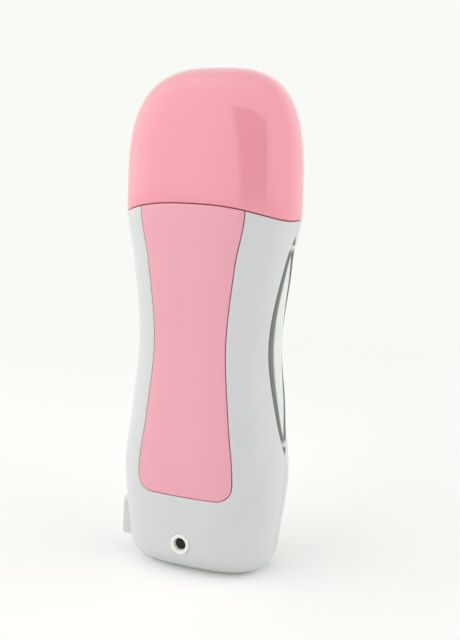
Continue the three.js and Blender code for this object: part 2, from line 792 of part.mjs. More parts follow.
const collarSteps = 3;
function topCollar() {
  const bottomZ = flangeBottomZ - collarDepth;
  const neckRootZ = seamFrontZ + seamGap;
  const outerInset = shellWall + fitGap;
  const innerInset = outerInset + collarWall;
  let collar = formThrough(steps(bottomZ, neckRootZ, collarSteps), outerInset);
  collar = collar.subtract(formThrough([bottomZ - cutOverrun, bottomZ, flangeBottomZ], innerInset));
  const neck = sectionAt(seamSideZ, capWall + fitGap);
  collar = collar.add(ovalColumn(neck.halfWidth, neck.halfDepth, neckRootZ, neckTopZ));
  const inside = sectionAt(flangeTopZ, innerInset);
  const openTopZ = neckTopZ + cutOverrun;
  collar = collar.subtract(ovalColumn(inside.halfWidth, inside.halfDepth, flangeTopZ, openTopZ));
  const ringHalfWidth = sleeveHalfWidth + fitGap;
  const ringHalfDepth = sleeveHalfDepth + fitGap;
  const ringBottomZ = flangeBottomZ - locatingRingHeight;
  const ringWidth = ringHalfWidth + locatingRingWall;
  const ringDepth = ringHalfDepth + locatingRingWall;
  let ring = ovalColumn(ringWidth, ringDepth, ringBottomZ, flangeTopZ);
  ring = ring.subtract(ovalColumn(ringHalfWidth, ringHalfDepth, ringBottomZ - cutOverrun, flangeBottomZ));
  const mouthWidth = bottleHalfWidth + cartridgeClearance;
  const mouthDepth = bottleHalfDepth + cartridgeClearance;
  const mouth = ovalColumn(mouthWidth, mouthDepth, ringBottomZ - cutOverrun, neckTopZ);
  place('top_collar', collar.add(ring).subtract(mouth), 'pinkSatin');
}

function sleeveCarrier() {
  let carrier = formThrough([carrierBottomZ, carrierTopZ], shellWall + fitGap);
  const seatWidth = sleeveHalfWidth + fitGap;
  const seatDepth = sleeveHalfDepth + fitGap;
  const rimTopZ = carrierTopZ + carrierRimHeight;
  const rimWidth = seatWidth + carrierRimWall;
  const rimDepth = seatDepth + carrierRimWall;
  carrier = carrier.add(ovalColumn(rimWidth, rimDepth, carrierBottomZ, rimTopZ));
  carrier = carrier.subtract(ovalColumn(seatWidth, seatDepth, carrierTopZ, rimTopZ + cutOverrun));
  const half = thermostatLength / 2 + fitGap;
  const thermostatReach = thermostatWidth / 2 + fitGap;
  const thermostatY = [sensorOffset - thermostatReach, sensorOffset + thermostatReach];
  const pocketZ = carrierTopZ - thermostatHeight - fitGap;
  carrier = carrier.subtract(block([-half, half], thermostatY, [pocketZ, carrierTopZ + fitGap]));
  const fuseHalf = fuseLength / 2 + fitGap;
  const fuseReach = fuseRadius + fitGap;
  const fuseY = [-sensorOffset - fuseReach, -sensorOffset + fuseReach];
  const fusePocketZ = carrierTopZ - 2 * fuseRadius - fitGap;
  carrier = carrier.subtract(block([-fuseHalf, fuseHalf], fuseY, [fusePocketZ, carrierTopZ + fitGap]));
  for (const facing of [-1, 1]) {
    const x = [leadOffset - leadNotchHalfWidth, leadOffset + leadNotchHalfWidth];
    const y = [facing * sleeveHalfDepth, facing * farDeep].sort((a, b) => a - b);
    carrier = carrier.subtract(block(x, y, [carrierBottomZ - cutOverrun, rimTopZ + cutOverrun]));
  }
  place('sleeve_carrier', carrier, 'heatPlastic');
}

function heaterSleeve() {
  let sleeve = ovalColumn(sleeveHalfWidth, sleeveHalfDepth, sleeveBottomZ, sleeveTopZ);
  const boreWidth = sleeveHalfWidth - sleeveWall;
  const boreDepth = sleeveHalfDepth - sleeveWall;
  sleeve = sleeve.subtract(ovalColumn(boreWidth, boreDepth, chamberFloorZ, sleeveTopZ + cutOverrun));
  const slotLow = [partingY - windowReach - sleeveSlotMargin, slotEye.lowZ - sleeveSlotMargin];
  const slotHigh = [partingY + windowReach + sleeveSlotMargin, sleeveTopZ - sleeveRimHeight];
  const slot = roundedRectangle(slotLow, slotHigh, sleeveSlotRadius);
  sleeve = sleeve.subtract(extrudeX(slot, -farWide, farWide));
  place('heater_sleeve', sleeve, 'aluminium');
}

const padBottomZ = chamberFloorZ + heaterPadRise;
function heaterPads() {
  const innerWidth = sleeveHalfWidth + fitGap;
  const innerDepth = sleeveHalfDepth + fitGap;
  const topZ = padBottomZ + heaterPadHeight;
  const outerWidth = innerWidth + heaterPadThickness;
  const outerDepth = innerDepth + heaterPadThickness;
  const outer = ovalColumn(outerWidth, outerDepth, padBottomZ, topZ);
  const inner = ovalColumn(innerWidth, innerDepth, padBottomZ - cutOverrun, topZ + cutOverrun);
  const sheet = outer.subtract(inner);
  const x = [-heaterPadHalfWidth, heaterPadHalfWidth];
  const z = [padBottomZ - cutOverrun, topZ + cutOverrun];
  place('heater_pad_front', sheet.intersect(block(x, [-farDeep, 0], z)), 'siliconeOrange');
  place('heater_pad_rear', sheet.intersect(block(x, [0, farDeep], z)), 'siliconeOrange');
}

function sensors() {
  const half = thermostatLength / 2;
  const y = [sensorOffset - thermostatWidth / 2, sensorOffset + thermostatWidth / 2];
  const z = [carrierTopZ - thermostatHeight, carrierTopZ];
  place('thermostat', block([-half, half], y, z), 'blackPlastic');
  const fuseZ = carrierTopZ - fuseRadius;
  const fuseHalf = fuseLength / 2;
  const fuse = rod('x', fuseRadius, -fuseHalf, fuseHalf, [-sensorOffset, fuseZ], smallSides);
  place('thermal_fuse', fuse, 'steel');
}

function circuitBoard() {
  const x = [-boardHalfWidth, boardHalfWidth];
  const y = [-boardHalfDepth, boardHalfDepth];
  let board = block(x, y, [boardBottomZ, boardTopZ]);
  rearPostPlaces.forEach((at, i) => {
    const name = ['left', 'right'][i];
    board = board.subtract(rod('z', boardBoreRadius, floorRootZ, carrierBottomZ, at, smallSides));
    const headZ = boardTopZ + fitGap;
    const headTop = headZ + boardScrewHeadThickness;
    const shank = rod('z', boardScrewRadius, headTop - boardScrewLength, headTop, at, smallSides);
    const head = rod('z', boardScrewHeadRadius, headZ, headTop, at, smallSides);
    place(`board_screw_${name}`, shank.add(head), 'steel');
  });
  place('circuit_board', board, 'boardGreen');
}

function boardComponents() {
  const capacitorMiddle = frontPostPlace[0];
  const capacitorX = [capacitorMiddle - capacitorWidth / 2, capacitorMiddle + capacitorWidth / 2];
  const capacitorFrontY = frontPostPlace[1] + boardPostRadius + capacitorGap;
  const capacitorY = [capacitorFrontY, capacitorFrontY + capacitorLength];
  const capacitorTopZ = boardBottomZ - fitGap;
  const capacitorZ = [capacitorTopZ - capacitorHeight, capacitorTopZ];
  place('film_capacitor', block(capacitorX, capacitorY, capacitorZ), 'componentYellow');
  const resistorAt = [0, boardTopZ + fitGap + resistorRadius];
  const resistorHalf = resistorLength / 2;
  const resistor = rod('x', resistorRadius, -resistorHalf, resistorHalf, resistorAt, smallSides);
  place('dropper_resistor', resistor, 'componentBlue');
  const diodeAt = [-componentPitch, boardTopZ + fitGap + diodeRadius];
  const diode = rod('x', diodeRadius, -diodeLength / 2, diodeLength / 2, diodeAt, smallSides);
  place('rectifier_diode', diode, 'blackPlastic');
}

function indicatorLamp() {
  const at = [0, lampHeight];
  const tubeEndY = bezelSeatY + bezelTubeLength;
  const bezel = turned('y', [
    [bezelBoreRadius + bezelChamfer, bezelFaceY],
    [bezelRadius - bezelChamfer, bezelFaceY],
    [bezelRadius, bezelFaceY + bezelChamfer],
    [bezelRadius, bezelSeatY],
    [bezelTubeRadius, bezelSeatY],
    [bezelTubeRadius, tubeEndY],
    [bezelBoreRadius, tubeEndY],
    [bezelBoreRadius, bezelFaceY + bezelChamfer],
    [bezelBoreRadius + bezelChamfer, bezelFaceY],
  ], at);
  place('led_bezel', bezel, 'milkyPlastic');
  const dome = steps(0, Math.PI / 2, cornerSteps).map((turn) => {
    return [lampRadius * Math.sin(turn), lampTipY + lampRadius * (1 - Math.cos(turn))];
  });
  const lampBackY = lampRimY + lampRimThickness;
  let lamp = turned('y', [
    ...dome,
    [lampRadius, lampRimY],
    [lampRimRadius, lampRimY],
    [lampRimRadius, lampBackY],
    [0, lampBackY],
  ], at);
  const leadEndY = lampBackY + lampLeadReach;
  for (const side of [-1, 1]) {
    const middle = side * lampLeadPitch / 2;
    const x = [middle - lampLeadSize / 2, middle + lampLeadSize / 2];
    const z = [lampHeight - lampLeadSize / 2, lampHeight + lampLeadSize / 2];
    const inward = block(x, [lampBackY - lampLeadSize, leadEndY], z);
    const upward = block(x, [leadEndY - lampLeadSize, leadEndY], [z[0], boardBottomZ - fitGap]);
    lamp = lamp.add(inward).add(upward);
  }
  place('led_lamp', lamp, 'smokedLens');
}

const pinPlaces = [['left', -pinPitch / 2], ['right', pinPitch / 2]];
function mainsInlet() {
  const half = inletWidth / 2;
  let housing = block([-half, half], [inletBackY, inletFaceY], [inletBottomHeight, inletTopZ]);
  const socketLow = [-socketWidth / 2, inletMiddleZ - socketHeight / 2];
  const socketHigh = [socketWidth / 2, inletMiddleZ + socketHeight / 2];
  const socket = roundedRectangle(socketLow, socketHigh, socketCornerRadius);
  housing = housing.subtract(extrudeY(socket, inletFaceY - socketDepth, inletFaceY + cutOverrun));
  for (const [name, x] of pinPlaces) {
    const at = [x, inletMiddleZ];
    const boreY = [inletBackY - cutOverrun, inletFaceY];
    housing = housing.subtract(rod('y', pinRadius + fitGap, ...boreY, at, smallSides));
    place(`inlet_pin_${name}`, rod('y', pinRadius, pinTailY, pinTipY, at, smallSides), 'brass');
  }
  place('inlet_housing', housing, 'blackPlastic');
}

function powerButton() {
  const reachIn = buttonEdgeRadius;
  const low = [buttonLowY + reachIn, buttonBottomHeight + reachIn];
  const high = [buttonHighY - reachIn, buttonTopZ - reachIn];
  const outline = roundedRectangle(low, high, buttonCornerRadius - reachIn);
  const shape = new THREE.Shape(outline.map(([y, z]) => new THREE.Vector2(y, z)));
  const length = lipInnerX + buttonReach;
  const geometry = new THREE.ExtrudeGeometry(shape, {
    depth: length,
    bevelThickness: buttonEdgeRadius,
    bevelSize: buttonEdgeRadius,
    bevelSegments: buttonEdgeSteps,
  });
  geometry.applyMatrix4(alongX).translate(buttonEdgeRadius - buttonReach, 0, 0);
  const keep = block([-farWide, lipInnerX], [-farDeep, farDeep], [0, capTopZ]);
  const lips = block([lipOuterX, lipInnerX], [lipLowY, lipHighY], [lipBottomZ, lipTopZ]);
  place('power_button', toSolid(geometry).intersect(keep).add(lips), 'pearlWhite');

  const at = [buttonCentreY, buttonMiddleZ];
  const plunger = rod('x', plungerRadius, plungerOuterX, plungerInnerX, at, smallSides);
  place('switch_plunger', plunger, 'milkyPlastic');
  const switchX = [switchOuterX, switchInnerX];
  let body = block(switchX, [switchLowY, switchHighY], [switchBottomZ, switchTopZ]);
  const boreX = [switchOuterX - cutOverrun, plungerInnerX + buttonTravel + fitGap];
  body = body.subtract(rod('x', plungerRadius + fitGap, ...boreX, at, smallSides));
  place('switch_body', body, 'blackPlastic');
}

function caseScrews() {
  for (const [name, side] of [['left', -1], ['right', 1]]) {
    const at = [side * screwOffset, screwHeight];
    const shank = rod('y', screwRadius, screwTipY, screwHeadY + screwHeadThickness, at, smallSides);
    const head = rod('y', screwHeadRadius, screwHeadY, screwHeadY + screwHeadThickness, at);
    place(`case_screw_${name}`, shank.add(head), 'steel');
  }
}

// Insulated leads run as tubes along smooth curves between the pieces that they join
function lead(points, radius = leadRadius) {
  const path = new THREE.CatmullRomCurve3(points.map((p) => new THREE.Vector3(...p)));
  const outline = [];
  for (let i = 0; i < leadSides; i++) {
    const angle = 2 * Math.PI * i / leadSides;
    outline.push(new THREE.Vector2(radius * Math.cos(angle), radius * Math.sin(angle)));
  }
  const options = { steps: leadSteps, extrudePath: path, bevelEnabled: false };
  return toSolid(new THREE.ExtrudeGeometry(new THREE.Shape(outline), options));
}

function leads() {
  const pinEndY = pinTailY - fitGap;
  const pinX = pinPitch / 2;
  const straightEndY = pinEndY - 2 * leadRadius;
  const switchEndX = switchInnerX + fitGap;
  const lowLeadY = buttonCentreY - 2 * leadRadius;
  place('live_lead', lead([
    [-pinX, pinEndY, inletMiddleZ],
    [-pinX, straightEndY, inletMiddleZ],
    [between(-pinX, switchEndX, nearShare), lowLeadY, inletMiddleZ],
    [between(-pinX, switchEndX, farShare), lowLeadY, inletMiddleZ],
    [switchEndX, lowLeadY, inletMiddleZ],
  ]), 'redLead');
  const underBoardZ = boardBottomZ - fitGap;
  const neutralY = pinEndY - leadSweep;
  place('neutral_lead', lead([
    [pinX, pinEndY, inletMiddleZ],
    [pinX, straightEndY, inletMiddleZ],
    [pinX, neutralY, between(inletMiddleZ, underBoardZ, midShare)],
    [pinX, neutralY, between(inletMiddleZ, underBoardZ, farShare)],
    [pinX, neutralY, underBoardZ],
  ]), 'blueLead');
  const switchLeadZ = switchTopZ - switchLeadDrop;
  const risingX = switchEndX + leadSweep;
  place('switch_lead', lead([
    [switchEndX, buttonCentreY, switchLeadZ],
    [between(switchEndX, risingX, midShare), buttonCentreY, switchLeadZ],
    [risingX, buttonCentreY, between(switchLeadZ, underBoardZ, midShare)],
    [risingX, buttonCentreY, underBoardZ],
  ]), 'redLead');
  const startZ = boardTopZ + fitGap;
  const endZ = padBottomZ - fitGap;
  const startY = boardHalfDepth - leadRadius;
  const padY = reachToPad(leadOffset);
  for (const [name, facing, finish] of [['front', -1, 'redLead'], ['rear', 1, 'blueLead']]) {
    place(`heater_lead_${name}`, lead([
      [leadOffset, facing * startY, startZ],
      [leadOffset, facing * startY, startZ + leadRadius],
      [leadOffset, facing * padY, carrierBottomZ - leadRadius],
      [leadOffset, facing * padY, between(carrierBottomZ, endZ, midShare)],
      [leadOffset, facing * padY, endZ],
    ], heaterLeadRadius), finish);
  }
}

function reachToPad(x) {
  const width = sleeveHalfWidth + fitGap + heaterPadThickness / 2;
  const depth = sleeveHalfDepth + fitGap + heaterPadThickness / 2;
  return depth * (1 - Math.abs(x / width) ** sectionExponent) ** (1 / sectionExponent);
}

function cartridge() {
  const innerWidth = bottleHalfWidth - bottleWall;
  const innerDepth = bottleHalfDepth - bottleWall;
  const rings = steps(0, Math.PI / 2, bottleEdgeSteps).map((turn) => {
    const drawnIn = bottleEdgeRadius * (1 - Math.sin(turn));
    const z = bottleBottomZ + bottleEdgeRadius * (1 - Math.cos(turn));
    return oval(bottleHalfWidth - drawnIn, bottleHalfDepth - drawnIn, z);
  });
  rings.push(oval(bottleHalfWidth, bottleHalfDepth, bottleTopZ));
  const hollowZ = bottleBottomZ + bottleEdgeRadius;
  const hollow = ovalColumn(innerWidth, innerDepth, hollowZ, bottleTopZ + cutOverrun);
  place('cartridge_bottle', loft(rings).subtract(hollow), 'milkyPlastic');

  const plugZ = headPlateZ - plugDepth;
  const waxTopZ = plugZ - waxHeadspace;
  const wax = ovalColumn(innerWidth - fitGap, innerDepth - fitGap, hollowZ + fitGap, waxTopZ);
  place('wax_charge', wax, 'wax');

  const plateTopZ = headPlateZ + headPlateThickness;
  const plateWidth = bottleHalfWidth + headPlateOverhang;
  const plateDepth = bottleHalfDepth + headPlateOverhang;
  let head = ovalColumn(plateWidth, plateDepth, headPlateZ, plateTopZ);
  head = head.add(ovalColumn(innerWidth - fitGap, innerDepth - fitGap, plugZ, plateTopZ));
  head = head.add(loft([
    oval(headHalfWidth, bottleHalfDepth, headPlateZ),
    oval(headHalfWidth, bottleHalfDepth, plateTopZ),
    oval(headHalfWidth, headTopHalfDepth, headTopZ),
  ]));
  const axis = [0, rollerAxisZ];
  const rollerHalf = rollerLength / 2;
  const cavityHalf = rollerHalf + rollerRunGap;
  const cavityRadius = rollerRadius + rollerRunGap;
  head = head.subtract(rod('x', cavityRadius, -cavityHalf, cavityHalf, axis, rollerSides));
  head = head.subtract(rod('x', axleRadius + fitGap, -farWide, farWide, axis, smallSides));
  for (let i = 0; i < feedHoleCount; i++) {
    const x = (i - (feedHoleCount - 1) / 2) * feedHolePitch;
    head = head.subtract(rod('z', feedHoleRadius, plugZ - cutOverrun, rollerAxisZ, [x, 0], smallSides));
  }
  place('cartridge_head', head, 'milkyPlastic');

  const axleHalf = headHalfWidth - fitGap;
  place('roller_axle', rod('x', axleRadius, -axleHalf, axleHalf, axis, smallSides), 'steel');
  const bore = rod('x', axleRadius + fitGap, -farWide, farWide, axis, smallSides);
  const barrel = rod('x', rollerRadius, -rollerHalf, rollerHalf, axis, rollerSides);
  place('roller', barrel.subtract(bore), 'milkyPlastic');
}

function waxCap() {
  const cap = capForm(0).subtract(capForm(capWall)).intersect(aboveSeam(seamGap / 2));
  place('wax_cap', cap, 'pinkGloss');
}

frontShell();
rearShell();
frontPanel();
windows();
topCollar();
sleeveCarrier();
heaterSleeve();
heaterPads();
sensors();
circuitBoard();
boardComponents();
indicatorLamp();
mainsInlet();
powerButton();
caseScrews();
leads();
cartridge();
waxCap();

export default root;
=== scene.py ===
# %% [markdown]
# A roll-on wax heater stands on a pale floor: a waisted pearl-white casing with a pink front panel, an
# eye-shaped window on each side, an indicator lamp low on the front, a push button low on the left and a
# glossy pink cap that lifts off over the roller of the wax cartridge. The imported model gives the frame, and
# this file gives the looks: smooth walls, rounded edges, and a finish for every piece.

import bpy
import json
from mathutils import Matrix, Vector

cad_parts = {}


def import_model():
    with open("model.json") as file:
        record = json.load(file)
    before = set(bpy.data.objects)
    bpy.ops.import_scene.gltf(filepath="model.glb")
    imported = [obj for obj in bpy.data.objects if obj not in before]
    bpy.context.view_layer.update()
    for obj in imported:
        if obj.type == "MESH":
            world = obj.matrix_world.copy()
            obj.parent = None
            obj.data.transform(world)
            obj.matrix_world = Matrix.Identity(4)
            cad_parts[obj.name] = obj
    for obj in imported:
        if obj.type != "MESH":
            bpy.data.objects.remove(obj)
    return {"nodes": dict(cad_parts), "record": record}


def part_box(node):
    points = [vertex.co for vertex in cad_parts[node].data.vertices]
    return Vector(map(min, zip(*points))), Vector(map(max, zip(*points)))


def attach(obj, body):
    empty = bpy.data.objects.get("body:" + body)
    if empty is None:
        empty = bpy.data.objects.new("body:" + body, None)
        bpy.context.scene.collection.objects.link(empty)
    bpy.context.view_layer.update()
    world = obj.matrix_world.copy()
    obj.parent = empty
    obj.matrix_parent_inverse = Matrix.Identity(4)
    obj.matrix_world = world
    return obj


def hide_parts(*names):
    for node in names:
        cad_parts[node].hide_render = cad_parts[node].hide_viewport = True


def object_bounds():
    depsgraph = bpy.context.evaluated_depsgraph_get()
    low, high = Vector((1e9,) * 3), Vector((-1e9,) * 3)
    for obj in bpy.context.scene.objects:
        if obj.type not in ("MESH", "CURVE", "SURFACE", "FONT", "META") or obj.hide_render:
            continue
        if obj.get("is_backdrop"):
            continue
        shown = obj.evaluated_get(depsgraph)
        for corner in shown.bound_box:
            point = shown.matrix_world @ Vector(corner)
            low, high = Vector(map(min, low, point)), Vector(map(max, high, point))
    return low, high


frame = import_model()
cad_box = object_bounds()

# %% [markdown]
# The camera comes first, because every judgement of shape and colour is made through it. It stands a little
# to the right of the front and looks down a little, with the slight roll of a hand-held photograph. A long
# lens keeps the verticals nearly parallel.

# %% The camera
import json
import math

import bmesh
import bpy
import numpy as np
from mathutils import Matrix, Vector

MM = 0.001
scene = bpy.context.scene
scene.view_settings.view_transform = "Standard"

CAMERA_PLACE = Vector((181.1, -381.5, 164.5)) * MM
CAMERA_TARGET = Vector((7.07, 3.2, 100.8)) * MM
CAMERA_ROLL = math.radians(1.85)
CAMERA_LENS = 59.5


def make_camera():
    """Looks from its place at its target; the roll turns the picture about the line of sight."""
    back = (CAMERA_PLACE - CAMERA_TARGET).normalized()
    level = Vector((0, 0, 1)).cross(back).normalized()
    upright = back.cross(level)
    right = level * math.cos(CAMERA_ROLL) + upright * math.sin(CAMERA_ROLL)
    up = upright * math.cos(CAMERA_ROLL) - level * math.sin(CAMERA_ROLL)
    data = bpy.data.cameras.new("camera")
    data.lens = CAMERA_LENS
    camera = bpy.data.objects.new("camera", data)
    camera.matrix_world = Matrix((right, up, back)).transposed().to_4x4()
    camera.location = CAMERA_PLACE
    scene.collection.objects.link(camera)
    return camera


scene.camera = make_camera()
print("camera at", [round(c / MM) for c in CAMERA_PLACE], "mm")

# %% [markdown]
# Every outer piece is a part of one form. Its cross-section is an oval between an ellipse and a rectangle,
# and two smooth curves say how wide and how deep the oval is at each height. The waist is as slim as the
# heating chamber inside allows, so its size comes from the frame, and the flares are added to it.

# %% The form's driving sizes
OVAL = 2.6
SHELL_WALL = 2.4 * MM
CAP_WALL = 1.8 * MM
FIT_GAP = 0.3 * MM
SEAM_GAP = 0.4 * MM
PARTING_GAP = 0.14 * MM
GROOVE_GAP = 0.3 * MM
SIDE_AIR_GAP = 0.7 * MM
HEATER_PAD = 1.2 * MM
PAD_AIR_GAP = 0.45 * MM
BASE_EDGE = 8.5 * MM
SEAM_ARCH = 5.7 * MM
SEAM_ARCH_EXPONENT = 2.9
CAP_SKIRT = 2.6 * MM
SHOULDER_DROP = 2 * MM
WAIST_Z = 93 * MM
HIP_Z = 40 * MM
HIP_FLARE = np.array([5.1, 2.3]) * MM
SHOULDER_FLARE = np.array([6.6, 2.0]) * MM
BASE_TAPER = 4.3 * MM
CROWN_WIDTH = 3.04
CROWN_DEPTH = 2.58
CROWN_LEAN = 4.2 * MM
CROWN_LEAN_POWER = 5
PARTING_Y = 2.6 * MM

_, sleeve_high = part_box("heater_sleeve")
cap_low, cap_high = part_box("wax_cap")
seam_side_z = cap_low.z - SEAM_GAP / 2
seam_front_z = seam_side_z + SEAM_ARCH
crown_start = seam_front_z + CAP_SKIRT
crown_rise = cap_high.z - crown_start
shoulder_z = seam_front_z - SHOULDER_DROP

# Half widths and half depths
waist = np.array([sleeve_high.x + SIDE_AIR_GAP + SHELL_WALL,
                  sleeve_high.y + FIT_GAP + HEATER_PAD + PAD_AIR_GAP + SHELL_WALL])
hip = waist + HIP_FLARE
base = hip - BASE_TAPER
shoulder = waist + SHOULDER_FLARE
for name, sizes in (("waist", waist), ("hip", hip), ("shoulder", shoulder)):
    print(name, "half sizes in mm:", (sizes / MM).round(2))

# %% [markdown]
# The two curves go through seven stations: the base, the hip, the waist, the shoulder, and one between each
# pair. A plain spline would swing out past its stations, so each slope is kept below the rises beside it.

# %% The curves of the outline
def smooth_through(heights, values):
    """A cubic through the stations, its slopes harmonic means of the rises beside them: no overshoot."""
    heights, values = np.array(heights), np.array(values)
    rises = np.diff(values) / np.diff(heights)
    before, after = rises[:-1], rises[1:]
    turning = before * after <= 0
    inner = np.where(turning, 0, 2 * before * after / np.where(turning, 1, before + after))
    slopes = np.concatenate([rises[:1], inner, [0]])

    def curve(z):
        """Between two stations: the smooth step from one value to the next, bent to meet both slopes."""
        i = np.clip(np.searchsorted(heights, z) - 1, 0, len(rises) - 1)
        run = heights[i + 1] - heights[i]
        t = np.clip((z - heights[i]) / run, 0, 1)
        bend = t * (1 - t) * ((1 - t) * slopes[i] - t * slopes[i + 1])
        return values[i] + (values[i + 1] - values[i]) * t * t * (3 - 2 * t) + bend * run

    return curve


def mix(low, high, share):
    """A share of the way from low to high: low + (high - low) * share."""
    return low + (high - low) * share


# Between two stations: the share of the climb, and the shares of the change in width and in depth
SKIRT_CLIMB, SKIRT_SHARES = 0.31, np.array([0.29, 0.95])
THIGH_CLIMB, THIGH_SHARES = 0.45, np.array([0.52, 0.45])
CHEST_CLIMB, CHEST_SHARES = 0.6, np.array([0.46, 0.62])

stations = [0, SKIRT_CLIMB * HIP_Z, HIP_Z, mix(HIP_Z, WAIST_Z, THIGH_CLIMB), WAIST_Z,
            mix(WAIST_Z, shoulder_z, CHEST_CLIMB), shoulder_z]
half_sizes = np.array([base, mix(base, hip, SKIRT_SHARES), hip, mix(hip, waist, THIGH_SHARES), waist,
                       mix(waist, shoulder, CHEST_SHARES), shoulder])
half_width = smooth_through(stations, half_sizes[:, 0])
half_depth = smooth_through(stations, half_sizes[:, 1])
print("stations at", [round(float(z) / MM, 1) for z in stations], "mm")

# %% [markdown]
# Two numbers name a point of the form. The turn goes round the oval, and the level runs up the surface: round
# the edge of the base, up the side, and over the crown by its angle, so that rows of points stay evenly
# spaced where their heights would bunch up. The seam under the cap is a curve on this form, low at both
# sides.

# %% The form as a function of turn and level
CROWN_LEVEL = crown_start - BASE_EDGE
RIM_LEVEL = -BASE_EDGE * math.pi / 2
POLE_LEVEL = CROWN_LEVEL + crown_rise * math.pi / 2
TURN_STEP, LEVEL_STEP, NO_LENGTH = 1e-4, 1e-5, 1e-14


def height_of(level):
    """r (1 - sin t) round the base's edge, then straight up, then h sin t over the crown."""
    edge = BASE_EDGE * (1 - np.sin(np.clip(-level, 0, -RIM_LEVEL) / BASE_EDGE))
    crown = crown_rise * np.sin(np.clip(level - CROWN_LEVEL, 0, POLE_LEVEL - CROWN_LEVEL) / crown_rise)
    return np.where(level < 0, edge, BASE_EDGE + np.clip(level, 0, CROWN_LEVEL) + crown)


def rounding(distance, radius):
    """How far a quarter round draws a surface in, d away from its border: r - sqrt(r^2 - (r - d)^2)."""
    short = radius - np.clip(distance, 0, radius)
    return radius - np.sqrt(np.maximum(radius**2 - short**2, 0))


def section(z):
    """The oval's half sizes: the curves' less the base's rounding, times (1 - t^n)^(1/n) over the crown."""
    drawn = rounding(z, BASE_EDGE)
    crown = np.clip((z - crown_start) / crown_rise, 0, 1)
    wide = (half_width(z) - drawn) * (1 - crown**CROWN_WIDTH) ** (1 / CROWN_WIDTH)
    deep = (half_depth(z) - drawn) * (1 - crown**CROWN_DEPTH) ** (1 / CROWN_DEPTH)
    return wide, deep


def power(value, exponent):
    """The value's size to a power, with the value's sign."""
    return np.sign(value) * np.abs(value) ** exponent


def oval(wide, deep, turn):
    """Turn 0 is the middle of the front and grows towards the right: x = a sin^(2/n), y = -b cos^(2/n)."""
    x = wide * power(np.sin(turn), 2 / OVAL)
    y = -deep * power(np.cos(turn), 2 / OVAL)
    return x, y


def form(turn, level):
    """The object's outer surface: the oval at the level's height, leaning back a little over the crown."""
    z = height_of(level)
    wide, deep = section(z)
    x, y = oval(wide, deep, turn)
    lean = CROWN_LEAN * np.clip((z - crown_start) / crown_rise, 0, 1) ** CROWN_LEAN_POWER
    return np.stack(np.broadcast_arrays(x, y + lean, z), -1)


def skin(turn, level):
    """The form's points and outward normals: cross products of differences, and straight up at the pole."""
    along = form(turn + TURN_STEP, level) - form(turn - TURN_STEP, level)
    upward = form(turn, level + LEVEL_STEP) - form(turn, level - LEVEL_STEP)
    normal = np.cross(along, upward)
    length = np.linalg.norm(normal, axis=-1, keepdims=True)
    normal = np.where(length > NO_LENGTH, normal / np.maximum(length, NO_LENGTH), (0, 0, 1))
    return form(turn, level), normal


def turn_at_x(x, z):
    """The turn at which the front of the oval is x away from the middle: arcsin((x / a)^(n/2))."""
    wide, _ = section(z)
    return np.sign(x) * np.arcsin(np.clip((np.abs(x) / wide) ** (OVAL / 2), 0, 1))


def turn_at_y(y, z):
    """The turn at which the right side of the oval has that y: arccos((-y / b)^(n/2))."""
    _, deep = section(z)
    return np.arccos(-np.sign(y) * np.clip((np.abs(y) / deep) ** (OVAL / 2), 0, 1))


def seam_at(y):
    """The seam under the cap: its height at the sides plus the arch times |y / b|^p."""
    return seam_side_z + SEAM_ARCH * np.abs(y / shoulder[1]) ** SEAM_ARCH_EXPONENT


def seam_z(turn):
    """The seam's height at a turn."""
    return seam_at(oval(*shoulder, turn)[1])


print("form from", form(0.0, RIM_LEVEL).round(4), "to", form(0.0, POLE_LEVEL).round(4))

# %% [markdown]
# A moulded wall is a closed mesh: an outer surface, an inner one a wall's thickness behind it, and a strip
# round their borders. Both surfaces are grids of points, so the mesh is only index arithmetic, and no loop
# visits single vertices. Grid lines crowd at the borders, where the outer surface drops away in a quarter
# circle, because a real moulding never has a knife edge and the small round catches the light.

# %% Helpers that turn grids into meshes
EDGE_STEPS = 4
DOUBLES_APART, NO_EDGE = 2e-7, 1e-7
SHARP_ANGLE = math.radians(35)


def quads_of(index):
    """Four corners of each cell of a grid of vertex numbers."""
    corners = [index[:-1, :-1], index[1:, :-1], index[1:, 1:], index[:-1, 1:]]
    return np.stack(corners, -1).reshape(-1, 4)


def finish_mesh(mesh):
    """Merges doubles, so that poles close, points the faces outwards and shades smoothly up to an angle."""
    shaped = bmesh.new()
    shaped.from_mesh(mesh)
    bmesh.ops.remove_doubles(shaped, verts=shaped.verts, dist=DOUBLES_APART)
    bmesh.ops.dissolve_degenerate(shaped, edges=shaped.edges, dist=NO_EDGE)
    bmesh.ops.recalc_face_normals(shaped, faces=shaped.faces)
    shaped.to_mesh(mesh)
    shaped.free()
    mesh.shade_smooth()
    mesh.set_sharp_from_angle(angle=SHARP_ANGLE)


def mesh_object(name, points, faces):
    """A finished mesh from points and faces, as an object of the scene."""
    mesh = bpy.data.meshes.new(name)
    mesh.from_pydata(points.reshape(-1, 3), [], faces.tolist())
    finish_mesh(mesh)
    piece = bpy.data.objects.new(name, mesh)
    scene.collection.objects.link(piece)
    return piece


def woven(name, grid, round_u=False, round_w=False):
    """A mesh over one grid of points, joined end to end where it goes round."""
    index = np.arange(grid.shape[0] * grid.shape[1]).reshape(grid.shape[:2])
    if round_u:
        index = np.vstack([index, index[:1]])
    if round_w:
        index = np.hstack([index, index[:, :1]])
    return mesh_object(name, grid, quads_of(index))


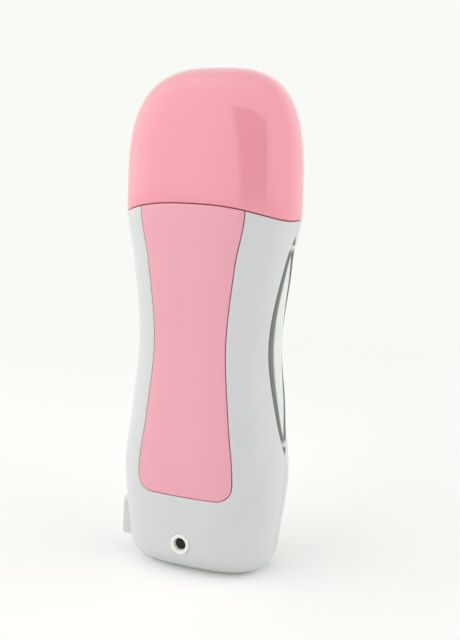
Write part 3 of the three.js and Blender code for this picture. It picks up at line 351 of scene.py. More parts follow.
def slab(name, outer, inner):
    """A closed wall between two grids of the same shape, with a strip along each of the four borders."""
    index = np.arange(outer.shape[0] * outer.shape[1]).reshape(outer.shape[:2])
    under = index + index.size
    faces = [quads_of(index), quads_of(under)[:, ::-1]]
    for top, bottom in ((index[0], under[0]), (index[-1], under[-1]),
                        (index[:, 0], under[:, 0]), (index[:, -1], under[:, -1])):
        faces.append(quads_of(np.stack([top, bottom])))
    points = np.concatenate([outer.reshape(-1, 3), inner.reshape(-1, 3)])
    return mesh_object(name, points, np.concatenate(faces))


def crowded(length, radius, count):
    """Distances r (1 - cos t) in from both ends of a line, even ones between, and drops r (1 - sin t)."""
    angle = np.linspace(0, math.pi / 2, EDGE_STEPS + 1)
    near, drop = radius * (1 - np.cos(angle)), radius * (1 - np.sin(angle))
    length = np.asarray(length, float)[..., None]
    middle = mix(radius, length - radius, np.linspace(0, 1, count + 2)[1:-1])
    start = np.broadcast_to(near, middle.shape[:-1] + near.shape)
    distance = np.concatenate([start, middle, length - near[::-1]], -1)
    depth_start = np.concatenate([drop, np.zeros(count + len(drop))])
    return distance, depth_start, depth_start[::-1]


print("edges round off in", EDGE_STEPS, "steps")

# %% [markdown]
# The cap is one glossy shell. The grid goes round it and up from the lip to the pole on the outside, and down
# again on the inside, so a single closed sheet of quads makes the whole wall, lip included.

# %% The cap
LIP_EDGE = 0.45 * MM
CAP_TURNS, SKIRT_ROWS, CROWN_ROWS = 192, 6, 72
CROWN_SPREAD = 0.8
INNER_LIP = 0.5


def build_cap():
    """Rows from a rounded lip on the arched seam up to the pole, and back down a wall's thickness inside."""
    # Skirt rows start on the seam, so each turn has its own levels, and crown rows are level all round
    turn = np.linspace(0, 2 * math.pi, CAP_TURNS, endpoint=False)[:, None]
    lip = seam_z(turn) + SEAM_GAP / 2 - BASE_EDGE
    distance, drop, _ = crowded(CROWN_LEVEL - lip[:, 0], LIP_EDGE, SKIRT_ROWS)
    skirt = lip + distance[:, :-EDGE_STEPS - 1]
    crown = mix(CROWN_LEVEL, POLE_LEVEL, np.linspace(0, 1, CROWN_ROWS) ** CROWN_SPREAD)
    level = np.concatenate([skirt, np.broadcast_to(crown, (CAP_TURNS, CROWN_ROWS))], -1)
    depth = np.concatenate([drop[:skirt.shape[1]], np.zeros(CROWN_ROWS)])[:, None]
    points, normals = skin(np.broadcast_to(turn, level.shape), level)
    outer, inner = points - normals * depth, points - normals * (CAP_WALL - depth * INNER_LIP)
    return woven("cap", np.concatenate([outer, inner[:, ::-1]], 1), round_u=True, round_w=True)


cap = build_cap()
print("cap:", len(cap.data.polygons), "faces")

# %% [markdown]
# The front panel is let into the front shell, and its edge keeps an even margin to the outline of the casing
# all the way up. It is a slab over a grid of shares across and up, and its border drops in a small round.

# %% The front panel
PANEL_MARGIN = 13.6 * MM
PANEL_BOTTOM = 32.9 * MM
PANEL_CORNER = 6 * MM
PANEL_EDGE = 0.28 * MM
PANEL_WALL = 1.1 * MM
PANEL_ROWS, PANEL_CORNER_ROWS, PANEL_COLUMNS = 90, 15, 60
panel_corner_z = PANEL_BOTTOM + PANEL_CORNER


def panel_half_width(z, grow=0.0):
    """The casing's half width less a margin, and below, a corner's quarter circle: sqrt(r^2 - d^2)."""
    side = half_width(np.maximum(z, panel_corner_z)) - PANEL_MARGIN + grow
    radius = PANEL_CORNER + grow
    drop = np.clip(panel_corner_z - z, 0, radius)
    return side - radius + np.sqrt(radius**2 - drop**2)


def build_panel():
    """Shares of the half width by heights that end on the arched seam, drawn in near the border."""
    # Rows crowd in the corners' quarter circles and at the top edge
    corner_share = 1 - np.cos(np.linspace(0, math.pi / 2, PANEL_CORNER_ROWS + 1))[:-1]
    upper_z = np.linspace(panel_corner_z, seam_front_z - PANEL_EDGE, PANEL_ROWS)
    top_z = seam_front_z - PANEL_EDGE * (1 - np.cos(np.linspace(math.pi / 2, 0, EDGE_STEPS + 1)))
    z_rows = np.concatenate([PANEL_BOTTOM + PANEL_CORNER * corner_share, upper_z, top_z[1:]])
    # Shares go from -1 to 1, so their line is 2 long
    share = crowded(2, PANEL_EDGE / panel_half_width(WAIST_Z), PANEL_COLUMNS)[0] - 1
    # Each column is stretched until its top ends on the seam
    top_wide, top_deep = section(seam_front_z)
    x_top = share * panel_half_width(seam_front_z)
    y_top = -top_deep * (1 - np.abs(x_top / top_wide) ** OVAL) ** (1 / OVAL)
    seam = seam_at(y_top) - SEAM_GAP / 2
    stretch = (seam - PANEL_BOTTOM) / (seam_front_z - PANEL_BOTTOM)
    z = PANEL_BOTTOM + (z_rows[:, None] - PANEL_BOTTOM) * stretch
    x = share * panel_half_width(z)

    # How far every point is from the nearest border says how deep it drops
    corner_x = panel_half_width(panel_corner_z) - PANEL_CORNER
    from_side = panel_half_width(z) - np.abs(x)
    from_corner = PANEL_CORNER - np.hypot(np.abs(x) - corner_x, panel_corner_z - z)
    from_edge = np.where((z < panel_corner_z) & (np.abs(x) > corner_x), from_corner, from_side)
    from_edge = np.where((z < panel_corner_z) & (np.abs(x) <= corner_x), z - PANEL_BOTTOM, from_edge)
    depth = rounding(np.minimum(from_edge, seam - z), PANEL_EDGE)
    points, normals = skin(turn_at_x(x, z), z - BASE_EDGE)
    return slab("panel", points - normals * depth[..., None], points - normals * PANEL_WALL)


panel = build_panel()
print("panel:", len(panel.data.polygons), "faces")

# %% [markdown]
# The window is an eye: two arcs that meet in a tip above and below, centred on the parting line. The shells'
# edges, the seal and the pane all follow the same two arcs, each a little inside the last.

# %% The eye of the window
WINDOW_REACH = 9.1 * MM
gasket_low, gasket_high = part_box("window_gasket_right")
pane_low, pane_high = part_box("window_pane_right")


def eye_tip(reach, half, gap):
    """How far a tip moves when both arcs move out by a gap: gap / sin(a), a their angle at the tip."""
    return gap / np.sin(2 * np.arctan(reach / half))


gasket_half = (gasket_high.z - gasket_low.z) / 2
eye_middle = (gasket_high.z + gasket_low.z) / 2
slot_half = gasket_half + eye_tip(WINDOW_REACH, gasket_half, FIT_GAP)


def arc(z, half, reach):
    """An arc's distance from the parting line: sqrt(R^2 - z^2) - (R - s), with R = (h^2 + s^2) / 2s."""
    radius = (half**2 + reach**2) / (2 * reach)
    inside = np.clip(np.abs(z - eye_middle), 0, half)
    return np.sqrt(radius**2 - inside**2) - (radius - reach)


print("window:", round(eye_middle / MM, 1), "mm up, half height", round(slot_half / MM, 1), "mm")

# %% [markdown]
# The front shell wraps round the panel like a U. Its grid lines start on the groove round the panel and run
# out to the parting line, so one family of lines follows the panel's outline down one side, round its
# corners and up the other. The lines that leave the panel's bottom edge run on under the base. Only the right
# half is worked out, and the left half is its mirror image.

# %% The front shell
SHELL_EDGE = 0.3 * MM
BOTTOM_ROWS, CORNER_ROWS, SIDE_ROWS, CROSS_ROWS, UNDER_ROWS = 20, 18, 120, 30, 14
SETTLING_STEPS = 4


def climb_to(height, rows):
    """The upper end of crowded distances, for a side that has a rounded rim only at its top."""
    distance, _, drop = crowded(height, SHELL_EDGE, rows)
    return distance[EDGE_STEPS:], drop[EDGE_STEPS:]


def shares_across(turns, levels, count, samples=60):
    """Shares along lines, straight in (turn, level), that crowd at both borders, and the drops at both."""
    share = np.linspace(0, 1, samples)
    turn, level = (mix(low[:, None], high[:, None], share) for low, high in (turns, levels))
    lengths = np.linalg.norm(np.diff(form(turn, level), axis=1), axis=-1).sum(1)
    distance, drop_in, drop_out = crowded(lengths, SHELL_EDGE, count)
    return distance / lengths[:, None], drop_in, drop_out


def top_of(turn):
    """The height of the shells' rim under the seam."""
    return seam_z(turn) - SEAM_GAP / 2


def build_front_shell():
    """Lines from the groove to the parting line and on under the base, and the same a wall's thickness in."""
    corner_x = panel_half_width(panel_corner_z) - PANEL_CORNER
    radius = PANEL_CORNER + GROOVE_GAP
    edge_y = PARTING_Y - PARTING_GAP / 2
    corner_level = panel_corner_z - BASE_EDGE

    # Three families of lines, as shares: along the panel's bottom, round its corner and up its side
    bottom = np.linspace(0, 1, BOTTOM_ROWS + 1)[:-1]
    corner = np.linspace(0, 1, CORNER_ROWS + 1)[:-1]
    side_height = top_of(math.pi / 2) - panel_corner_z
    side_rise, top_drop = climb_to(side_height, SIDE_ROWS)
    side = side_rise / side_height

    # The bottom and corner lines run from the groove to the base's rim and low on the parting line
    corner_angle = corner * math.pi / 2
    in_x = np.concatenate([bottom * corner_x, corner_x + radius * np.sin(corner_angle)])
    bottom_z = np.full(BOTTOM_ROWS, PANEL_BOTTOM - GROOVE_GAP)
    in_z = np.concatenate([bottom_z, panel_corner_z - radius * np.cos(corner_angle)])
    out_level = np.concatenate([np.full(BOTTOM_ROWS, RIM_LEVEL), mix(RIM_LEVEL, corner_level, corner)])
    rim_turn = turn_at_y(edge_y, 0)
    out_turn = np.concatenate([bottom * rim_turn, turn_at_y(edge_y, height_of(out_level[BOTTOM_ROWS:]))])
    in_turn, in_level = turn_at_x(in_x, in_z), in_z - BASE_EDGE

    # The side lines end on the parting line, or on the window's edge. A line's height at the groove depends
    # on its turn there, and its turn on its height, so the two settle in a few steps
    out_z = mix(panel_corner_z, top_of(math.pi / 2), side)
    out_y = np.minimum(edge_y, PARTING_Y - arc(out_z, slot_half, WINDOW_REACH))
    side_out_turn = turn_at_y(out_y, out_z)
    inner_z = out_z
    for _ in range(SETTLING_STEPS):
        side_in_turn = turn_at_x(panel_half_width(inner_z, GROOVE_GAP), inner_z)
        inner_z = mix(panel_corner_z, top_of(side_in_turn), side)

    start_turn = np.concatenate([in_turn, side_in_turn])
    end_turn = np.concatenate([out_turn, side_out_turn])
    start_level = np.concatenate([in_level, inner_z - BASE_EDGE])
    end_level = np.concatenate([out_level, out_z - BASE_EDGE])

    # Heights on the side lines are shares of the height up to the seam, so the lines take on its arch
    across, drop_in, drop_out = shares_across(
        (start_turn, end_turn), (start_level, end_level), CROSS_ROWS, samples=25)
    turn = mix(start_turn[:, None], end_turn[:, None], across)
    level = mix(start_level[:, None], end_level[:, None], across)
    sides = slice(BOTTOM_ROWS + CORNER_ROWS, None)
    level[sides] = mix(panel_corner_z, top_of(turn[sides]), side[:, None]) - BASE_EDGE

    # The edge drops at the groove, at the parting line and under the seam
    rows = len(start_turn)
    parts_here = np.arange(rows) >= BOTTOM_ROWS
    top_depth = np.zeros(rows)
    top_depth[sides] = top_drop
    depth = np.maximum(np.maximum(drop_in, drop_out * parts_here[:, None]), top_depth[:, None])
    points, normals = skin(turn, level)
    outer, inner = points - normals * depth[..., None], points - normals * SHELL_WALL

    # Only the bottom lines run on under the base: the others repeat their last point, and those merge
    share = np.linspace(0, 1, UNDER_ROWS + 1)[1:, None]
    target = np.zeros((rows, 1, 3))
    target[:BOTTOM_ROWS, 0, 0] = form(rim_turn, RIM_LEVEL)[0] * bottom
    target[:BOTTOM_ROWS, 0, 1] = edge_y
    under = mix(points[:, -1:], target, share)
    under[BOTTOM_ROWS:] = outer[BOTTOM_ROWS:, -1:]
    inside = under + np.array([0, 0, SHELL_WALL])
    inside[BOTTOM_ROWS:] = inner[BOTTOM_ROWS:, -1:]
    outer, inner = np.concatenate([outer, under], 1), np.concatenate([inner, inside], 1)

    mirror = np.array([-1, 1, 1])
    outer = np.concatenate([outer[:0:-1] * mirror, outer])
    inner = np.concatenate([inner[:0:-1] * mirror, inner])
    return slab("front_casing", outer, inner)


front_casing = build_front_shell()
print("front casing:", len(front_casing.data.polygons), "faces")

# %% [markdown]
# The rear shell is plainer: its lines run from one parting line round the back to the other, and on under the
# base.

# %% The rear shell
REAR_ROWS = 150
REAR_CROSS = 110
BASE_ROWS = 16


def build_rear_shell():
    """Rows from under the base round its edge and up to the seam, and lines across from side to side."""
    edge_y = PARTING_Y + PARTING_GAP / 2
    # Rows round the base's edge, and then up the side, where they crowd at the rim
    low_level = np.linspace(RIM_LEVEL, 0, BASE_ROWS + 1)[:-1]
    top = top_of(math.pi / 2) - BASE_EDGE
    rise, drop = climb_to(top, REAR_ROWS)
    levels = np.concatenate([low_level, rise])
    top_drop = np.concatenate([np.zeros(BASE_ROWS), drop])

    # Each row runs from one parting line, or window's edge, round to the other
    z = height_of(levels)
    out_y = np.maximum(edge_y, PARTING_Y + arc(z, slot_half, WINDOW_REACH))
    start = turn_at_y(out_y, z)
    end = 2 * math.pi - start
    across, drop_in, drop_out = shares_across((start, end), (levels, levels), REAR_CROSS)
    turn = mix(start[:, None], end[:, None], across)
    level = np.where(levels[:, None] > 0, (top_of(turn) - BASE_EDGE) * levels[:, None] / top, levels[:, None])
    depth = np.maximum(np.maximum(drop_in, drop_out), top_drop[:, None])
    depth = depth * np.clip(1 + level / (BASE_EDGE / 2), 0, 1)
    points, normals = skin(turn, level)
    outer, inner = points - normals * depth[..., None], points - normals * SHELL_WALL

    # Under the base, rows run from the straight parting line out to the first row of the side
    share = np.linspace(0, 1, UNDER_ROWS + 1)[:-1][:, None, None]
    target = np.zeros_like(points[:1])
    target[0, :, 0] = mix(points[0, 0, 0], points[0, -1, 0], across[0])
    target[0, :, 1] = edge_y
    under = mix(target, points[:1], share)
    inside = under + np.array([0, 0, SHELL_WALL])
    return slab("rear_casing", np.concatenate([under, outer]), np.concatenate([inside, inner]))


rear_casing = build_rear_shell()
print("rear casing:", len(rear_casing.data.polygons), "faces")

# %% [markdown]
# The seal is a loop round the eye. Its cross-section is a soft bead, and the loop is wide along the front arc
# and only a thin line along the rear one.

# %% The window's seals
FRONT_SEAL = 3.5 * MM
REAR_SEAL = 1.2 * MM
SEAL_TIP = 5 * MM
SEAL_EDGE = 0.35 * MM
SEAL_DEPTH = 2.4 * MM
SEAL_PROUD = 0.45 * MM
SEAL_FULL = 2.4 * MM
SEAL_EDGE_SHARE = 0.3
ARC_ROWS, SEAL_ROWS = 80, 10


def side_surface(y, z, side):
    """Points and normals of the casing's side at (y, z); side is 1 on the right and -1 on the left."""
    points, normals = skin(turn_at_y(y, z), z - BASE_EDGE)
    mirror = np.array([side, 1, 1])
    return points * mirror, normals * mirror


def crowded_shares(count):
    """Shares from 0 to 1 that crowd at both ends: half of 1 - cos."""
    return (1 - np.cos(np.linspace(0, math.pi, count))) / 2


def eye_arcs(half, front, rear):
    """Heights up the eye, and where its front and rear arcs are at each."""
    z = eye_middle + mix(-half, half, crowded_shares(ARC_ROWS))
    return z, PARTING_Y - arc(z, half, front), PARTING_Y + arc(z, half, rear)


def eye_loop(half, front, rear):
    """The eye's outline as (y, z): up the front arc and down the rear one."""
    z, y_front, y_rear = eye_arcs(half, front, rear)
    return np.stack([np.concatenate([up, down[-2:0:-1]]) for up, down in ((y_front, y_rear), (z, z))], -1)


def build_seal(side, name):
    """A bead: out of the gap, over a round crest proud of the casing, and back down beside the pane."""
    reach = WINDOW_REACH - FIT_GAP
    # Shares across the bead, from its outer loop to its inner one, crowd at both rounded edges
    outside = eye_loop(gasket_half, reach, reach)
    inside = eye_loop(gasket_half - SEAL_TIP, reach - FRONT_SEAL, reach - REAR_SEAL)
    width = np.linalg.norm(outside - inside, axis=-1)
    edge = np.minimum(SEAL_EDGE, width * SEAL_EDGE_SHARE)
    angle = np.linspace(0, math.pi / 2, EDGE_STEPS + 1)
    near = edge[:, None] * (1 - np.cos(angle)) / width[:, None]
    drop = edge[:, None] * (1 - np.sin(angle))
    middle = mix(near[:, -1:], 1 - near[:, -1:], np.linspace(0, 1, SEAL_ROWS + 2)[1:-1])
    share = np.concatenate([near[:, :1], near, middle, 1 - near[:, ::-1], 1 - near[:, :1]], 1)
    # Depths under the casing's surface: a wall, an edge, the crest, an edge and a wall
    wall = np.full((len(width), 1), SEAL_DEPTH)
    crest = SEAL_PROUD * np.minimum(width / SEAL_FULL, 1)[:, None] * np.sin(math.pi * middle)
    depth = np.concatenate([wall, drop, -crest, drop[:, ::-1], wall], 1)
    where = mix(outside[:, None], inside[:, None], share[..., None])
    points, normals = side_surface(where[..., 0], where[..., 1], side)
    return woven(name, points - normals * depth[..., None], round_u=True, round_w=True)


seals = {side: build_seal(side, f"seal_{name}") for side, name in ((-1, "left"), (1, "right"))}
print("seal:", len(seals[1].data.polygons), "faces")

# %% [markdown]
# The pane closes the hole inside the seal, flush with the casing. It is a slab on the casing's own surface,
# so it carries on the curve of the side, and only its border drops in a small round.

# %% The window's panes
PANE_DEPTH = 2 * MM
PANE_EDGE = 0.2 * MM
PANE_ROWS = 24


def build_pane(side, name):
    """Shares across the eye by shares of its height, on the casing's surface, with a rounded border."""
    half = (pane_high.z - pane_low.z) / 2
    reach = WINDOW_REACH - FIT_GAP
    front, rear = reach - FRONT_SEAL - FIT_GAP, reach - REAR_SEAL - FIT_GAP
    z, y_front, y_rear = (row[:, None] for row in eye_arcs(half, front, rear))
    y = mix(y_front, y_rear, crowded_shares(PANE_ROWS))
    depth = rounding(np.minimum(y - y_front, y_rear - y), PANE_EDGE)
    points, normals = side_surface(y, np.broadcast_to(z, y.shape), side)
    return slab(name, points - normals * depth[..., None], points - normals * PANE_DEPTH)


panes = {side: build_pane(side, f"pane_{name}") for side, name in ((-1, "left"), (1, "right"))}
print("pane:", len(panes[1].data.polygons), "faces")

# %% [markdown]
# The power button is a tall rounded key that stands out of a slot low on the left. Its outline is a rectangle
# with round corners, carried from a gently crowned face over a soft edge to the back.

# %% The power button
KEY_CORNER = 2.4 * MM
KEY_EDGE = 1.2 * MM
KEY_CROWN = 0.15 * MM
KEY_LEAN = 0.45 * MM
KEY_FLANGE = 1.2 * MM
KEY_BACK_EDGE, KEY_BACK_SHARE = 0.2 * MM, 0.98
KEY_RINGS = np.linspace(0.2, 0.9, 6)
button_low, button_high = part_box("power_button")
key_low_z, key_high_z = button_low.z + KEY_FLANGE, button_high.z - KEY_FLANGE


def rounded_outline(half_u, half_v, radius, count=8):
    """A loop of four quarter circles, (r cos t, r sin t) about the middles of a rectangle's round corners."""
    quarters = np.arange(4)[:, None] * math.pi / 2
    angle = quarters + np.linspace(0, math.pi / 2, count + 1)
    middle_u = (half_u - radius) * np.array([1, -1, -1, 1])[:, None]
    middle_v = (half_v - radius) * np.array([1, 1, -1, -1])[:, None]
    u, v = middle_u + radius * np.cos(angle), middle_v + radius * np.sin(angle)
    return np.stack([u.ravel(), v.ravel()], -1)


def stacked(outlines, along, axes, centre):
    """Outlines (k, n, 2) at k distances along an axis, closed by their middles; axes for u, v and along."""
    first, last = (np.broadcast_to(loop.mean(0), loop.shape) for loop in (outlines[0], outlines[-1]))
    loops = np.concatenate([[first], outlines, [last]])
    far = np.concatenate([along[:1], along, along[-1:]])
    grid = np.zeros(loops.shape[:2] + (3,))
    grid[..., axes[0]] = loops[..., 0]
    grid[..., axes[1]] = loops[..., 1]
    grid[..., axes[2]] = far[:, None]
    return grid + np.array(centre)


def build_button():
    """Outlines drawn in towards the face by a quarter round; the face is crowned and leans in upwards."""
    half_y = (button_high.y - button_low.y) / 2
    half_z = (key_high_z - key_low_z) / 2
    centre = (0, (button_high.y + button_low.y) / 2, (key_high_z + key_low_z) / 2)
    # Rings on the face, then the edge's quarter round, then two at the back
    full = rounded_outline(half_y, half_z, KEY_CORNER)
    angle = np.linspace(0, math.pi / 2, 7)
    drawn = KEY_EDGE * (1 - np.sin(angle))
    scale = 1 - drawn[:, None] / np.array([half_y, half_z])
    scales = np.concatenate([KEY_RINGS[:, None] * scale[:1], scale, [(1, 1)], [(KEY_BACK_SHARE,) * 2]])
    face_x = button_low.x + KEY_CROWN * KEY_RINGS**2
    edge_x = button_low.x + KEY_CROWN + (KEY_EDGE - KEY_CROWN) * (1 - np.cos(angle))
    back_x = [button_high.x - KEY_BACK_EDGE, button_high.x]
    grid = stacked(full * scales[:, None], np.concatenate([face_x, edge_x, back_x]), (1, 2, 0), centre)
    outwards = (button_high.x - grid[..., 0]) / (button_high.x - button_low.x)
    upwards = (grid[..., 2] - key_low_z) / (key_high_z - key_low_z)
    grid[..., 0] += KEY_LEAN * upwards * outwards
    return woven("button", grid, round_w=True)


button = build_button()
print("button:", len(button.data.polygons), "faces")

# %% [markdown]
# The indicator lamp sits in a round white bezel low on the front. Both are turned about an axis that points
# out of the front, so each is a profile carried round that axis.

# %% The lamp and its bezel
_, lamp_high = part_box("led_lamp")
bezel_low, bezel_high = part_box("led_bezel")
ROUND_SIDES = 48
LAMP_RADIUS = 2.2 * MM
LAMP_DOME = 0.5 * MM
LAMP_RECESS = 0.95 * MM
LAMP_FOOT = 2 * MM
BEZEL_BORE = 2.6 * MM
BEZEL_EDGE = 0.35 * MM
BEZEL_FLANGE = 1.6 * MM
BEZEL_STEP = 0.85 * MM
GRIP_DEPTH = 1.3 * MM
GRIP_AIR, FOOT_AIR = 0.1 * MM, 0.3 * MM
lamp_centre = (0, 0, (bezel_low.z + bezel_high.z) / 2)
bezel_radius = (bezel_high.z - bezel_low.z) / 2


def turned(profile, axis, centre, sides=64):
    """A profile of (radius r, distance) pairs carried round an axis: u = r cos t, v = r sin t."""
    profile = np.asarray(profile, float)
    angle = np.linspace(0, 2 * math.pi, sides, endpoint=False)
    grid = np.zeros((len(profile), sides, 3))
    u, v = [a for a in range(3) if a != axis]
    grid[..., u] = profile[:, :1] * np.cos(angle)
    grid[..., v] = profile[:, :1] * np.sin(angle)
    grid[..., axis] = profile[:, 1:]
    return grid + np.array(centre)


def fillet(start, end, corner, radius, count=6):
    """A quarter round at a profile's corner: c + r (into (1 - sin t) + out (1 - cos t))."""
    start, end, corner = (np.asarray(p, float) for p in (start, end, corner))
    into = (start - corner) / np.linalg.norm(start - corner)
    out = (end - corner) / np.linalg.norm(end - corner)
    angle = np.linspace(0, math.pi / 2, count)[:, None]
    return corner + radius * (into * (1 - np.sin(angle)) + out * (1 - np.cos(angle)))


def build_bezel():
    """From the bore, over the rounded rim, to the flange's seat and down the tube."""
    face, back = bezel_low.y, bezel_high.y
    seat = face + BEZEL_FLANGE
    rim, tube = bezel_radius, bezel_radius - BEZEL_STEP
    profile = np.concatenate([
        fillet((BEZEL_BORE, back), (rim, face), (BEZEL_BORE, face), BEZEL_EDGE),
        fillet((BEZEL_BORE, face), (rim, back), (rim, face), BEZEL_EDGE),
        [(rim, seat), (tube, seat), (tube, back)],
        [(LAMP_RADIUS + FOOT_AIR, back), (LAMP_RADIUS + GRIP_AIR, face + GRIP_DEPTH)],
    ])
    return woven("bezel", turned(profile, 1, lamp_centre), round_u=True, round_w=True)


def build_lamp():
    """A shallow dome on a straight body, closed at the back."""
    tip, back = bezel_low.y + LAMP_RECESS, lamp_high.y - LAMP_FOOT
    angle = np.linspace(0, math.pi / 2, 12)
    dome = np.stack([LAMP_RADIUS * np.sin(angle), tip + LAMP_DOME * (1 - np.cos(angle))], -1)
    profile = np.concatenate([dome, [(LAMP_RADIUS, back), (0, back)]])
    return woven("lamp", turned(profile, 1, lamp_centre, ROUND_SIDES), round_w=True)


bezel = build_bezel()
lamp = build_lamp()
print("bezel:", len(bezel.data.polygons), "faces, lamp:", len(lamp.data.polygons), "faces")

# %% [markdown]
# A collar sits in the mouth of the casing, and its upper part is the neck that the cap grips. It shares the
# casing's oval, so it is a line of corners carried round that oval, and the corners are softened as a mould
# softens them.

# %% The collar
bottle_low, bottle_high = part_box("cartridge_bottle")
collar_low, collar_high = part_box("top_collar")
SKIRT_STEPS = 8
MOUTH_GAP = 0.45 * MM
FLANGE_WALL = 2 * MM
COLLAR_WALL = 2 * MM
RING_WALL = 1.2 * MM
RING_DROP = 4 * MM
SOFT = 0.5 * MM
neck_root_z = seam_front_z + SEAM_GAP


def softened(corners, radii, count=4):
    """A line of corners c, each rounded by (1-t)^2 a + 2t(1-t) c + t^2 b, with a and b a radius away."""
    corners = np.asarray(corners, float)
    rows = []
    for i, radius in enumerate(radii):
        corner, share = corners[i], np.linspace(0, 1, count + 1)[:, None]
        if radius == 0:
            rows.append(corner[None])
            continue
        before, after = corners[i - 1] - corner, corners[(i + 1) % len(corners)] - corner
        start = corner + before * radius / np.linalg.norm(before)
        end = corner + after * radius / np.linalg.norm(after)
        rows.append((1 - share) ** 2 * start + 2 * share * (1 - share) * corner + share**2 * end)
    return np.concatenate(rows)


def hoop(name, rows, closed, sides=160):
    """Rows of (half width, half depth, height) carried round the oval; closed joins the last to the first."""
    turn = np.linspace(0, 2 * math.pi, sides, endpoint=False)
    x, y = oval(rows[:, :1], rows[:, 1:2], turn)
    grid = np.stack(np.broadcast_arrays(x, y, rows[:, 2:]), -1)
    return woven(name, grid, round_u=closed, round_w=True)


def inset_row(z, inset):
    """The casing's half width and half depth at a height, less an inset, with the height."""
    wide, deep = section(z)
    return wide - inset, deep - inset, z


def grown(corner, growth, z):
    """A box corner's half width and half depth, both more by a growth, at a height."""
    return corner.x + growth, corner.y + growth, z


def build_collar():
    """A skirt in the casing's mouth, the neck and its rim, a flange round the cartridge and a ring."""
    outside = SHELL_WALL + FIT_GAP
    flange_z = bottle_high.z
    under_z = flange_z - FLANGE_WALL
    neck = inset_row(seam_side_z, CAP_WALL + FIT_GAP)[:2]
    inside = inset_row(flange_z, outside + COLLAR_WALL)[:2]
    skirt = [inset_row(z, outside) for z in np.linspace(collar_low.z, neck_root_z, SKIRT_STEPS)]
    upper = [(*neck, neck_root_z), (*neck, collar_high.z), (*inside, collar_high.z), (*inside, flange_z),
             grown(bottle_high, MOUTH_GAP, flange_z), grown(bottle_high, MOUTH_GAP, under_z)]
    ring_out = FIT_GAP + RING_WALL
    ring = [grown(sleeve_high, FIT_GAP, under_z), grown(sleeve_high, FIT_GAP, under_z - RING_DROP),
            grown(sleeve_high, ring_out, under_z - RING_DROP), grown(sleeve_high, ring_out, under_z)]
    back = [inset_row(under_z, outside + COLLAR_WALL), inset_row(collar_low.z, outside + COLLAR_WALL)]
    soft = [0] * len(skirt) + [0, SOFT, SOFT, SOFT, SOFT, 0] + [0] * (len(ring) + len(back))
    return hoop("collar", softened(skirt + upper + ring + back, soft), True)


collar = build_collar()
print("collar:", len(collar.data.polygons), "faces")

# %% [markdown]
# The wax cartridge stands in the heating chamber: a bottle, a head that narrows upwards, and a roller on an
# axle. Bottle and head are hoops like the collar, and the roller and its axle are turned.

# %% The cartridge
head_low, head_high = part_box("cartridge_head")
roller_low, roller_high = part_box("roller")
axle_low, axle_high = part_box("roller_axle")
ROLLER_SIDES = 96
BOTTLE_WALL = 1.2 * MM
BOTTLE_EDGE = 3 * MM
HEAD_PLATE = 3 * MM
HEAD_SIDE = 3 * MM
HEAD_TOP_DEPTH = 11.6 * MM
PLUG_DEPTH = 5.6 * MM
ROLLER_GAP = 0.5 * MM
SOFTER = 1 * MM
roller_z = (roller_high.z + roller_low.z) / 2
roller_radius = (roller_high.z - roller_low.z) / 2


def build_bottle():
    """From the middle of the bottom out and up, over the rim, and down inside to the middle of the floor."""
    bottom, top = bottle_low.z, bottle_high.z
    floor = bottom + BOTTLE_EDGE
    corners = [(0, 0, bottom), grown(bottle_high, 0, bottom), grown(bottle_high, 0, top),
               grown(bottle_high, -BOTTLE_WALL, top), grown(bottle_high, -BOTTLE_WALL, floor), (0, 0, floor)]
    rim = BOTTLE_WALL / 3
    return hoop("bottle", softened(corners, [0, BOTTLE_EDGE, rim, rim, 0, 0], 8), False)


def build_head():
    """A plug, a plate and a body that narrows upwards, before the roller's bed is cut."""
    plate_z = head_low.z + PLUG_DEPTH
    body_z = plate_z + HEAD_PLATE
    body_width = roller_high.x + ROLLER_GAP + HEAD_SIDE
    plug = -BOTTLE_WALL - FIT_GAP
    corners = [(0, 0, head_low.z), grown(bottle_high, plug, head_low.z), grown(bottle_high, plug, plate_z),
               grown(head_high, 0, plate_z), grown(head_high, 0, body_z), (body_width, bottle_high.y, body_z),
               (body_width, HEAD_TOP_DEPTH, head_high.z), (0, 0, head_high.z)]
    return hoop("cartridge_top", softened(corners, [0, SOFT, 0, SOFT, SOFTER, SOFT, SOFTER, 0], 6), False)


def build_roller():
    """A barrel with softened ends and a bore for the axle."""
    bore = axle_high.y + FIT_GAP
    left, right = roller_low.x, roller_high.x
    corners = [(bore, left), (roller_radius, left), (roller_radius, right), (bore, right)]
    profile = softened(corners, [0, SOFTER, SOFTER, 0], 8)
    return woven("barrel", turned(profile, 0, (0, 0, roller_z), ROLLER_SIDES), round_u=True, round_w=True)


def build_axle():
    """A pin with softened ends."""
    radius, left, right = axle_high.y, axle_low.x, axle_high.x
    profile = softened([(0, left), (radius, left), (radius, right), (0, right)], [0, SOFT, SOFT, 0])
    return woven("axle", turned(profile, 0, (0, 0, roller_z), ROUND_SIDES), round_w=True)


bottle, cartridge_top = build_bottle(), build_head()
barrel, axle = build_roller(), build_axle()
print("bottle:", len(bottle.data.polygons), "faces, roller:", len(barrel.data.polygons), "faces")

# %% [markdown]
# The slot for the button, the seat for the bezel, the inlet, the screw pockets and the roller's bed are cut
# after the pieces are made, because a cut of its own shape spares the grids from bending round every hole.

# %% Cuts in the shells and the cartridge
FAR = 12 * MM
BEZEL_AIR = 0.12 * MM
BEZEL_LEDGE = 0.6 * MM
INLET_CORNER = 1.2 * MM
POCKET_RADIUS = 2.9 * MM
POCKET_SINK = 2.1 * MM
FEED_RADIUS = 2.4 * MM
FEED_PITCH = 13 * MM
inlet_low, inlet_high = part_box("inlet_housing")
screw_low, screw_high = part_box("case_screw_right")


